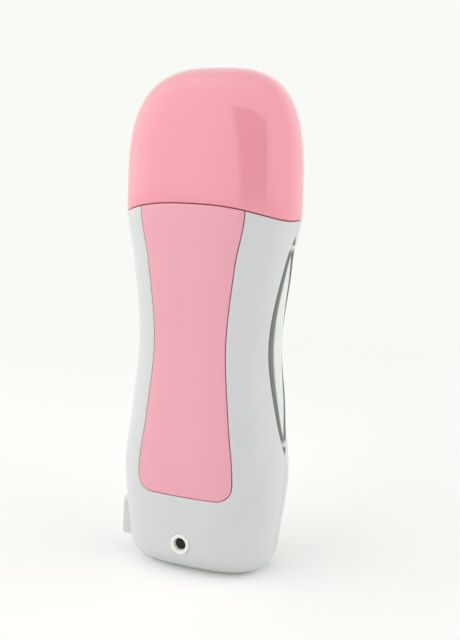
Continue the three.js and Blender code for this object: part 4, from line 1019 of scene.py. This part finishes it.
def carve(piece, *cutters):
    """Cuts closed cutters out of a piece and deletes them."""
    for cutter in cutters:
        cut = piece.modifiers.new("cut", "BOOLEAN")
        cut.operation = "DIFFERENCE"
        cut.solver = "EXACT"
        cut.object = cutter
        graph = bpy.context.evaluated_depsgraph_get()
        made = bpy.data.meshes.new_from_object(piece.evaluated_get(graph))
        piece.modifiers.clear()
        piece.data = made
        bpy.data.objects.remove(cutter)
    finish_mesh(piece.data)


def block_cutter(low, high, radius, axis):
    """A rounded block between two corners, its outline square to an axis."""
    low, high = np.array(low, float), np.array(high, float)
    u, v = [a for a in range(3) if a != axis]
    outline = rounded_outline((high[u] - low[u]) / 2, (high[v] - low[v]) / 2, radius)
    centre = (low + high) / 2
    centre[axis] = 0
    grid = stacked(np.array([outline, outline]), np.array([low[axis], high[axis]]), (u, v, axis), centre)
    return woven("cutter", grid, round_w=True)


def round_cutter(radius, start, end, axis, centre):
    """A cylinder between two distances along an axis."""
    profile = [(0, start), (radius, start), (radius, end), (0, end)]
    return woven("cutter", turned(profile, axis, centre), round_w=True)


slot_low = (button_low.x - FAR, button_low.y - FIT_GAP, key_low_z - FIT_GAP)
slot_high = (button_high.x, button_high.y + FIT_GAP, key_high_z + FIT_GAP)
carve(
    front_casing,
    block_cutter(slot_low, slot_high, KEY_CORNER + FIT_GAP, 0),
    round_cutter(bezel_radius + BEZEL_AIR, bezel_low.y - FAR, bezel_low.y + BEZEL_FLANGE, 1, lamp_centre),
    round_cutter(bezel_radius - BEZEL_LEDGE, bezel_low.y - FAR, bezel_low.y + FAR, 1, lamp_centre),
)
screw_centre = (screw_low + screw_high) / 2
hole_low = inlet_low - Vector((FIT_GAP, 0, FIT_GAP))
hole_high = inlet_high + Vector((FIT_GAP, FAR, FIT_GAP))
carve(
    rear_casing,
    block_cutter(hole_low, hole_high, INLET_CORNER, 1),
    *(round_cutter(POCKET_RADIUS, screw_high.y - POCKET_SINK, screw_high.y + FAR, 1, (x, 0, screw_centre.z))
      for x in (-screw_centre.x, screw_centre.x)),
)
bed_half = roller_high.x + ROLLER_GAP
roller_centre = (0, 0, roller_z)
carve(
    cartridge_top,
    round_cutter(roller_radius + ROLLER_GAP, -bed_half, bed_half, 0, roller_centre),
    round_cutter(axle_high.y + FIT_GAP, -FAR - bed_half, FAR + bed_half, 0, roller_centre),
    *(round_cutter(FEED_RADIUS, head_low.z - FAR, roller_z, 2, (x, 0, 0))
      for x in (-FEED_PITCH, 0, FEED_PITCH)),
)
print("front casing now", len(front_casing.data.polygons), "faces, rear", len(rear_casing.data.polygons))

# %% [markdown]
# Materials are built from nodes, and a node is always made the same way: its settings first, and then its
# inputs, each set to a value or linked to another node's output. So one helper makes every node.

# %% Helpers that make nodes
def feed(tree, node, inputs):
    """Links the inputs whose values are sockets, and sets the others."""
    for key, value in inputs.items():
        if isinstance(value, bpy.types.NodeSocket):
            tree.links.new(value, node.inputs[key])
        else:
            node.inputs[key].default_value = value


def add_node(tree, kind, settings=None, inputs=None):
    """A new node with its settings and inputs."""
    made = tree.nodes.new(kind)
    for key, value in (settings or {}).items():
        setattr(made, key, value)
    feed(tree, made, inputs or {})
    return made


def math_node(tree, operation, first, second):
    """One sum or other step of arithmetic."""
    return add_node(tree, "ShaderNodeMath", {"operation": operation}, {0: first, 1: second}).outputs[0]


def object_place(tree):
    """Object coordinates, which stay with the piece when its body moves."""
    return tree.nodes.new("ShaderNodeTexCoord").outputs["Object"]


def smooth_step(tree, value, start, end, low=0.0, high=1.0):
    """Low before the start, high past the end, and smooth between them."""
    step = add_node(tree, "ShaderNodeMapRange", {"interpolation_type": "SMOOTHSTEP"}, {
        "Value": value, "From Min": start, "From Max": end, "To Min": low, "To Max": high})
    return step.outputs["Result"]


def noise(tree, place, scale, detail):
    """Cloudy values round a half."""
    inputs = {"Vector": place, "Scale": scale, "Detail": detail}
    return add_node(tree, "ShaderNodeTexNoise", None, inputs).outputs["Fac"]


def mix_colours(tree, share, first, second, blend="MIX"):
    """A share of the way from the first colour to their blend, which is plainly the second one for MIX."""
    mixed = add_node(tree, "ShaderNodeMix", {"data_type": "RGBA", "blend_type": blend},
                     {"Factor": share, "A": first, "B": second})
    return mixed.outputs["Result"]


print("node helpers ready")

# %% [markdown]
# Three effects are node groups, because more than one finish can use them: the fine grain that a mould
# leaves, the slow drift of colour in any plastic, and the flakes of a pearl paint. They put out colours,
# roughness and heights, and the shader itself stays in each material.

# %% Shader node groups
COARSE_SHARE = 0.03
COOL_GLINT, WARM_GLINT = (0.86, 0.93, 1.0, 1), (1.0, 0.94, 0.88, 1)


def new_group(name, inputs, outputs):
    """An empty shader node group with named sockets, and its input and output nodes."""
    group = bpy.data.node_groups.new(name, "ShaderNodeTree")
    for label, kind in inputs:
        group.interface.new_socket(label, in_out="INPUT", socket_type=kind)
    for label, kind in outputs:
        group.interface.new_socket(label, in_out="OUTPUT", socket_type=kind)
    return group, group.nodes.new("NodeGroupInput").outputs, group.nodes.new("NodeGroupOutput")


def make_grain_group():
    """Mould grain: roughness = base + spread * (coarse noise - 1/2), height = fine noise."""
    group, given, out = new_group(
        "mould_grain",
        [("Vector", "NodeSocketVector"), ("Grain Scale", "NodeSocketFloat"),
         ("Roughness", "NodeSocketFloat"), ("Spread", "NodeSocketFloat")],
        [("Roughness", "NodeSocketFloat"), ("Height", "NodeSocketFloat")])
    fine = noise(group, given["Vector"], given["Grain Scale"], 3.0)
    coarse_scale = math_node(group, "MULTIPLY", given["Grain Scale"], COARSE_SHARE)
    coarse = noise(group, given["Vector"], coarse_scale, 4.0)
    spread = math_node(group, "MULTIPLY", math_node(group, "SUBTRACT", coarse, 0.5), given["Spread"])
    feed(group, out, {"Roughness": math_node(group, "ADD", given["Roughness"], spread), "Height": fine})
    return group


def make_drift_group():
    """Colour drift: the colour a little lighter or darker by a slow noise."""
    group, given, out = new_group(
        "colour_drift",
        [("Vector", "NodeSocketVector"), ("Color", "NodeSocketColor"), ("Scale", "NodeSocketFloat"),
         ("Drift", "NodeSocketFloat")],
        [("Color", "NodeSocketColor")])
    centred = math_node(group, "SUBTRACT", noise(group, given["Vector"], given["Scale"], 2.0), 0.5)
    value = math_node(group, "ADD", math_node(group, "MULTIPLY", centred, given["Drift"]), 1.0)
    tinted = add_node(group, "ShaderNodeHueSaturation", None, {"Color": given["Color"], "Value": value})
    feed(group, out, {"Color": tinted.outputs["Color"]})
    return group


def make_pearl_group():
    """Pearl flakes: each small cell leans the colour towards a warm or a cool glint."""
    group, given, out = new_group(
        "pearl_flakes",
        [("Vector", "NodeSocketVector"), ("Color", "NodeSocketColor"), ("Flake Scale", "NodeSocketFloat"),
         ("Strength", "NodeSocketFloat")],
        [("Color", "NodeSocketColor")])
    cells = add_node(group, "ShaderNodeTexVoronoi", None, {
        "Vector": given["Vector"], "Scale": given["Flake Scale"]})
    apart = add_node(group, "ShaderNodeSeparateColor", None, {"Color": cells.outputs["Color"]})
    glint = mix_colours(group, apart.outputs["Red"], COOL_GLINT, WARM_GLINT)
    feed(group, out, {"Color": mix_colours(group, given["Strength"], given["Color"], glint, "MULTIPLY")})
    return group


grain_group, drift_group, pearl_group = make_grain_group(), make_drift_group(), make_pearl_group()
print("groups:", [g.name for g in bpy.data.node_groups])

# %% [markdown]
# One recipe serves every opaque finish, and a table gives each its own values: colour, roughness and its
# spread, grain, bump, metal and coat. A painted metal, a satin plastic and a rubber differ only in these.

# %% The recipe of an opaque material
def linear(hex_colour):
    """The written sRGB colour as the linear one that the shader takes."""
    parts = np.array([int(hex_colour[i:i + 2], 16) for i in (0, 2, 4)]) / 255
    low, high = parts / 12.92, ((parts + 0.055) / 1.055) ** 2.4
    return (*np.where(parts <= 0.04045, low, high), 1.0)


GRAIN_HEIGHT = 0.2 * MM
DRIFT_SCALE, FLAKE_SCALE = 30.0, 2600.0
SUBSURFACE_SCALE = 2 * MM


def group_node(tree, group, inputs):
    """The outputs of a node group set into a tree."""
    return add_node(tree, "ShaderNodeGroup", {"node_tree": group}, inputs).outputs


def new_material(name):
    """A material, its node tree, its shader and its Object coordinates."""
    material = bpy.data.materials.new(name)
    material.use_nodes = True
    tree = material.node_tree
    return material, tree, tree.nodes["Principled BSDF"], object_place(tree)


def feed_grain(tree, shader, place, grain, roughness, spread, bump):
    """The grain group sets the shader's roughness and, through a bump, its normal."""
    grains = group_node(tree, grain_group, {
        "Vector": place, "Grain Scale": grain, "Roughness": roughness, "Spread": spread})
    bumped = add_node(tree, "ShaderNodeBump", None, {
        "Height": grains["Height"], "Strength": bump, "Distance": GRAIN_HEIGHT})
    feed(tree, shader, {"Roughness": grains["Roughness"], "Normal": bumped.outputs["Normal"]})


def opaque(name, colour, roughness, spread=0.06, grain=2500.0, bump=0.02, drift=0.05, metallic=0.0,
           coat=0.0, coat_roughness=0.05, pearl=0.0, specular=0.5, subsurface=0.0):
    """Colour drifts slowly, pearl flakes glint if asked for, and grain sets roughness and bump."""
    material, tree, shader, place = new_material(name)
    base = group_node(tree, drift_group, {
        "Vector": place, "Color": linear(colour), "Scale": DRIFT_SCALE, "Drift": drift})["Color"]
    if pearl:
        base = group_node(tree, pearl_group, {
            "Vector": place, "Color": base, "Flake Scale": FLAKE_SCALE, "Strength": pearl})["Color"]
    feed_grain(tree, shader, place, grain, roughness, spread, bump)
    feed(tree, shader, {
        "Base Color": base, "Metallic": metallic, "Coat Weight": coat, "Coat Roughness": coat_roughness,
        "Specular IOR Level": specular, "Subsurface Weight": subsurface,
        "Subsurface Scale": SUBSURFACE_SCALE})
    return material


print("one recipe, with", len(bpy.data.node_groups), "groups to draw on")

# %% [markdown]
# The outside takes its colours from the photograph, and the inside from what such pieces usually are: pale
# plastics that stand the heat, an aluminium chamber, brass pins, and leads in red and blue.

# %% The finishes
FINISHES = {
    "pearl_white": dict(colour="d8dadb", roughness=0.34, spread=0.05, bump=0.015, drift=0.02, pearl=0.25,
                        coat=0.35, coat_roughness=0.12),
    "pink_satin": dict(colour="efaab8", roughness=0.42, spread=0.06, bump=0.03, drift=0.02),
    "pink_gloss": dict(colour="f59dad", roughness=0.16, spread=0.02, bump=0.004, drift=0.015, coat=0.6,
                       coat_roughness=0.03, specular=0.25),
    # The seals' dark grey is their rubber's colour, and in part painted shade along the window's front edge
    "grey_rubber": dict(colour="737873", roughness=0.34, spread=0.08, bump=0.04, grain=1800.0, coat=0.3),
    "milky_plastic": dict(colour="f1f2ee", roughness=0.3, bump=0.01, drift=0.02, subsurface=0.1),
    "bottle_plastic": dict(colour="f3f2ec", roughness=0.25, bump=0.01, drift=0.02, coat=0.2, subsurface=0.2),
    "heat_plastic": dict(colour="d8d0bd", roughness=0.6, bump=0.06),
    "aluminium": dict(colour="c4c6c9", roughness=0.4, spread=0.15, metallic=1.0, bump=0.03, grain=1500.0),
    "silicone": dict(colour="c8603a", roughness=0.75, bump=0.1, grain=1200.0),
    "black_plastic": dict(colour="232326", roughness=0.45, bump=0.05, drift=0.1),
    "steel": dict(colour="b5b7ba", roughness=0.35, spread=0.12, metallic=1.0, bump=0.02),
    "board_green": dict(colour="2f6b46", roughness=0.4, bump=0.03, drift=0.15),
    "component_yellow": dict(colour="d9b83c", roughness=0.4, bump=0.02),
    "component_blue": dict(colour="5d8fb0", roughness=0.4, bump=0.02),
    "smoked_lens": dict(colour="141215", roughness=0.5, spread=0.03, bump=0.005, specular=0.3),
    "brass": dict(colour="c9a659", roughness=0.3, spread=0.1, metallic=1.0, bump=0.02),
    "red_lead": dict(colour="b43a32", roughness=0.45, bump=0.03),
    "blue_lead": dict(colour="3a5fa8", roughness=0.45, bump=0.03),
    "wax": dict(colour="e3a7b0", roughness=0.45, bump=0.05, subsurface=0.3),
}
materials = {name: opaque(name, **values) for name, values in FINISHES.items()}
print("opaque materials:", len(materials))

# %% [markdown]
# The seal is dark grey along the window. Near both of its ends, where it turns to the light, a painted
# highlight makes it pale, and in the very tips it is dark again. The painted highlight follows the share of
# its half height: a smooth step up and another one down.

# %% The seal's painted highlight near its ends
# Where the painted highlight starts and is full, and where it gives way to the dark tips, as shares of the
# half height
HIGHLIGHT_STARTS, HIGHLIGHT_FULL = 0.85, 0.92
TIP_STARTS, TIP_FULL = 0.92, 0.94
PAINTED_HIGHLIGHT_GREY = "dfe3e0"


def painted_highlight_ends(material):
    """Mixes a painted highlight in by step(away, start) - step(away, tip); away = |z - middle| / half height.
    """
    tree = material.node_tree
    shader = tree.nodes["Principled BSDF"]
    dark = shader.inputs["Base Color"].links[0].from_socket
    height = add_node(tree, "ShaderNodeSeparateXYZ", None, {0: object_place(tree)}).outputs["Z"]
    along = math_node(tree, "DIVIDE", math_node(tree, "SUBTRACT", height, eye_middle), gasket_half)
    away = math_node(tree, "ABSOLUTE", along, 0.0)
    share = math_node(tree, "SUBTRACT", smooth_step(tree, away, HIGHLIGHT_STARTS, HIGHLIGHT_FULL),
                      smooth_step(tree, away, TIP_STARTS, TIP_FULL))
    # The painted highlight: pale grey mixed into the seal's colour near both of its ends
    feed(tree, shader, {"Base Color": mix_colours(tree, share, dark, linear(PAINTED_HIGHLIGHT_GREY))})


painted_highlight_ends(materials["grey_rubber"])
print("the seal is pale from", HIGHLIGHT_STARTS, "to", TIP_FULL, "of its half height")

# %% [markdown]
# The panes are clear plastic, but most of what shows of them is painted light: a near-white base colour for
# the brightness that a clear pane takes from its bright surroundings, under a full coat of gloss. Their
# transmission and gloss are plain values, and only the faint flow marks that a mould leaves sit in the
# roughness and the bump.

# %% The clear pane, and its painted light
FLOW_SCALE = 700.0


def clear_pane():
    """Near-white painted light, a little transmission under a full coat, and flow marks from the grain group.
    """
    material, tree, shader, place = new_material("clear_pane")
    feed_grain(tree, shader, place, FLOW_SCALE, roughness=0.06, spread=0.06, bump=0.01)
    # The near-white base colour is painted light: it gives the pane the brightness that a clear pane takes
    # from its bright surroundings
    feed(tree, shader, {
        "Base Color": linear("f6faf7"), "Transmission Weight": 0.25, "Coat Weight": 1.0, "IOR": 1.49})
    return material


materials["clear_pane"] = clear_pane()
print("materials:", len(materials))

# %% [markdown]
# Every node that the frame carries gets the material of its slot, and each new piece rides on the body of the
# node that it stands for, takes that node's slot and hides it.

# %% Dressing the pieces
slots = {part["node"]: part["material_slot"] for part in frame["record"]["subparts"]}
body_of = {node: body for body, nodes in frame["record"]["behaviour"]["bodies"].items() for node in nodes}


def wear(thing, slot):
    """The thing has the slot's material and no other."""
    thing.data.materials.clear()
    thing.data.materials.append(materials[slot])


def stand_for(piece, node):
    """The piece rides on the node's body, wears its finish and replaces it."""
    wear(piece, slots[node])
    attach(piece, body_of[node])
    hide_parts(node)


for node, thing in frame["nodes"].items():
    wear(thing, slots[node])
shown_pieces = {
    "wax_cap": cap, "front_panel": panel, "front_shell": front_casing, "rear_shell": rear_casing,
    "window_gasket_left": seals[-1], "window_pane_left": panes[-1],
    "window_gasket_right": seals[1], "window_pane_right": panes[1],
    "power_button": button, "led_bezel": bezel, "led_lamp": lamp, "top_collar": collar,
    "cartridge_bottle": bottle, "cartridge_head": cartridge_top, "roller": barrel, "roller_axle": axle,
}
for node, piece in shown_pieces.items():
    stand_for(piece, node)

# %% [markdown]
# The floor is matte near the object, so that it takes the object's shadow, and further out it fades into the
# white of the backdrop, so no horizon shows from any side. The fade is a colour for rays that see the floor:
# to the light that bounces off it, the whole floor stays matte, so the white adds no light.

# %% The floor
BACKDROP = (0.947, 0.955, 0.912, 1)
FLOOR_SIZE = 8.0
FLOOR_WHITE = (0.94, 0.94, 0.93, 1)
FLOOR_ROUGHNESS = 0.9
FLOOR_GLOW = 0.12
FADE_START, FADE_END = 0.1, 0.7


def seen_directly(tree):
    """1 for camera, glossy and transmission rays, and 0 for diffuse light."""
    path = tree.nodes.new("ShaderNodeLightPath").outputs
    seen = math_node(tree, "MAXIMUM", path["Is Camera Ray"], path["Is Glossy Ray"])
    return math_node(tree, "MAXIMUM", seen, path["Is Transmission Ray"])


def make_floor():
    """A square sheet that fades, where it is seen, from matte to the backdrop's white with the distance."""
    corners = np.array([(-1, -1, 0), (1, -1, 0), (1, 1, 0), (-1, 1, 0)]) * FLOOR_SIZE / 2
    mesh = bpy.data.meshes.new("floor")
    mesh.from_pydata(corners, [], [(0, 1, 2, 3)])
    floor = bpy.data.objects.new("floor", mesh)
    scene.collection.objects.link(floor)
    material, tree, shader, place = new_material("floor_white")
    feed(tree, shader, {
        "Base Color": FLOOR_WHITE, "Roughness": FLOOR_ROUGHNESS, "Emission Color": BACKDROP,
        "Emission Strength": math_node(tree, "MULTIPLY", seen_directly(tree), FLOOR_GLOW)})
    away = add_node(tree, "ShaderNodeVectorMath", {"operation": "LENGTH"}, {0: place}).outputs["Value"]
    share = math_node(tree, "MULTIPLY", smooth_step(tree, away, FADE_START, FADE_END), seen_directly(tree))
    white = add_node(tree, "ShaderNodeEmission", None, {"Color": BACKDROP, "Strength": 1.0})
    both = add_node(tree, "ShaderNodeMixShader", None,
                    {0: share, 1: shader.outputs["BSDF"], 2: white.outputs["Emission"]})
    feed(tree, tree.nodes["Material Output"], {"Surface": both.outputs["Shader"]})
    mesh.materials.append(material)
    floor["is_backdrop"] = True


make_floor()
print("floor:", FLOOR_SIZE, "m wide, white from", FADE_END, "m on")

# %% [markdown]
# The photograph was taken in a light tent, and the glossy cap mirrors it: a bright wall all round, dimmer at
# the back, with a dim opening whose reflection is the darker strip on the cap. The world is that tent for
# mirrored rays only. The camera sees it as the plain white backdrop, and as a light it is dim.

# %% The backdrop, and the tent that mirrors see
ROOM_DIM = 0.3
MIRRORED_TENT = 1.8
MIRRORED_BACK = 1.1
MIRRORED_OPENING = 0.1
BACK_STARTS, BACK_ENDS = 0.0, 0.4
# The tent's opening, as seen on a sheet one unit in front of the object: its borders, and how soft they are
OPENING_LEFT, OPENING_SLANT, OPENING_LEFT_SOFT = 0.15, 0.31, 0.09
OPENING_RIGHT, OPENING_RIGHT_SOFT = 1.33, 0.05
OPENING_TOP, OPENING_TOP_SOFT = 1.12, 0.06
NEARLY_SIDEWAYS = 0.001


def past(tree, value, border, soft):
    """A smooth step from 0 to 1 round a border."""
    return smooth_step(tree, value, border - soft / 2, border + soft / 2)


def before(tree, value, border, soft):
    """A smooth step from 1 to 0 round a border."""
    return math_node(tree, "SUBTRACT", 1.0, past(tree, value, border, soft))


def mix_levels(tree, share, first, second):
    """A share of the way from the first level to the second."""
    mixed = add_node(tree, "ShaderNodeMix", {"data_type": "FLOAT"},
                     {"Factor": share, "A": first, "B": second})
    return mixed.outputs["Result"]


def make_world():
    """White to look at; in mirrors a bright tent with a dim opening; dim as a light."""
    world = bpy.data.worlds.new("studio")
    scene.world = world
    world.use_nodes = True
    tree = world.node_tree
    direction = tree.nodes.new("ShaderNodeTexCoord").outputs["Generated"]
    along = add_node(tree, "ShaderNodeSeparateXYZ", None, {0: direction}).outputs
    ahead = math_node(tree, "MAXIMUM", math_node(tree, "MULTIPLY", along["Y"], -1.0), NEARLY_SIDEWAYS)
    across = math_node(tree, "DIVIDE", along["X"], ahead)
    aloft = math_node(tree, "DIVIDE", along["Z"], ahead)
    slanted = math_node(tree, "ADD", across, math_node(tree, "MULTIPLY", aloft, OPENING_SLANT))
    opening = math_node(tree, "MULTIPLY", past(tree, slanted, OPENING_LEFT, OPENING_LEFT_SOFT),
                        before(tree, across, OPENING_RIGHT, OPENING_RIGHT_SOFT))
    opening = math_node(tree, "MULTIPLY", opening, before(tree, aloft, OPENING_TOP, OPENING_TOP_SOFT))
    wall = smooth_step(tree, along["Y"], BACK_STARTS, BACK_ENDS, MIRRORED_TENT, MIRRORED_BACK)
    path = tree.nodes.new("ShaderNodeLightPath").outputs
    tent = mix_levels(tree, opening, wall, MIRRORED_OPENING)
    room = mix_levels(tree, path["Is Glossy Ray"], ROOM_DIM, tent)
    direct = math_node(tree, "MAXIMUM", path["Is Camera Ray"], path["Is Transmission Ray"])
    feed(tree, tree.nodes["Background"], {"Color": BACKDROP, "Strength": mix_levels(tree, direct, room, 1.0)})


make_world()
print("world:", len(scene.world.node_tree.nodes), "nodes")

# %% [markdown]
# Four wide panels light the object as the walls and the roof of the tent would: from the front left, from
# behind on the left, from the right and from above. They are hidden from the camera and from mirrors, which
# would show their hard borders, and a panel's power follows from its area and how bright it should look.

# %% The lights
TENT = 1.45
# Place, target, width, height, and share of the tent's brightness
PANELS = {
    "tent_left": ((-0.75, -0.8, 0.75), (0, -0.05, 0.75), 1.9, 1.5, 0.9),
    "tent_back_left": ((-1.05, 0.47, 0.55), (0, 0.47, 0.55), 1.25, 1.1, 0.5),
    "tent_right": ((1.0, 0.45, 0.55), (0, 0.45, 0.55), 2.2, 1.1, 0.84),
    "tent_top": ((0, 0, 1.25), (0, 0, 0), 2.4, 2.0, 0.36),
}


def light_panel(name, place, target, width, height, share):
    """A rectangular area light aimed at a point: power = pi * area * radiance."""
    data = bpy.data.lights.new(name, "AREA")
    data.shape = "RECTANGLE"
    data.size, data.size_y = width, height
    data.energy = TENT * share * math.pi * width * height
    lamp_panel = bpy.data.objects.new(name, data)
    lamp_panel.location = place
    lamp_panel.rotation_euler = (Vector(target) - Vector(place)).to_track_quat("-Z", "Y").to_euler()
    lamp_panel.visible_camera = False
    lamp_panel.visible_glossy = False
    scene.collection.objects.link(lamp_panel)


for name, values in PANELS.items():
    light_panel(name, *values)

# %% [markdown]
# The dressing is meant to keep the object's size, so its box is measured again and its change from the
# frame's box is printed.

# %% The sizes, and the end
dressed_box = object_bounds()
changes = [round((a - b) / MM, 2) for p, q in zip(dressed_box, cad_box) for a, b in zip(p, q)]
print("size change in mm:", changes)
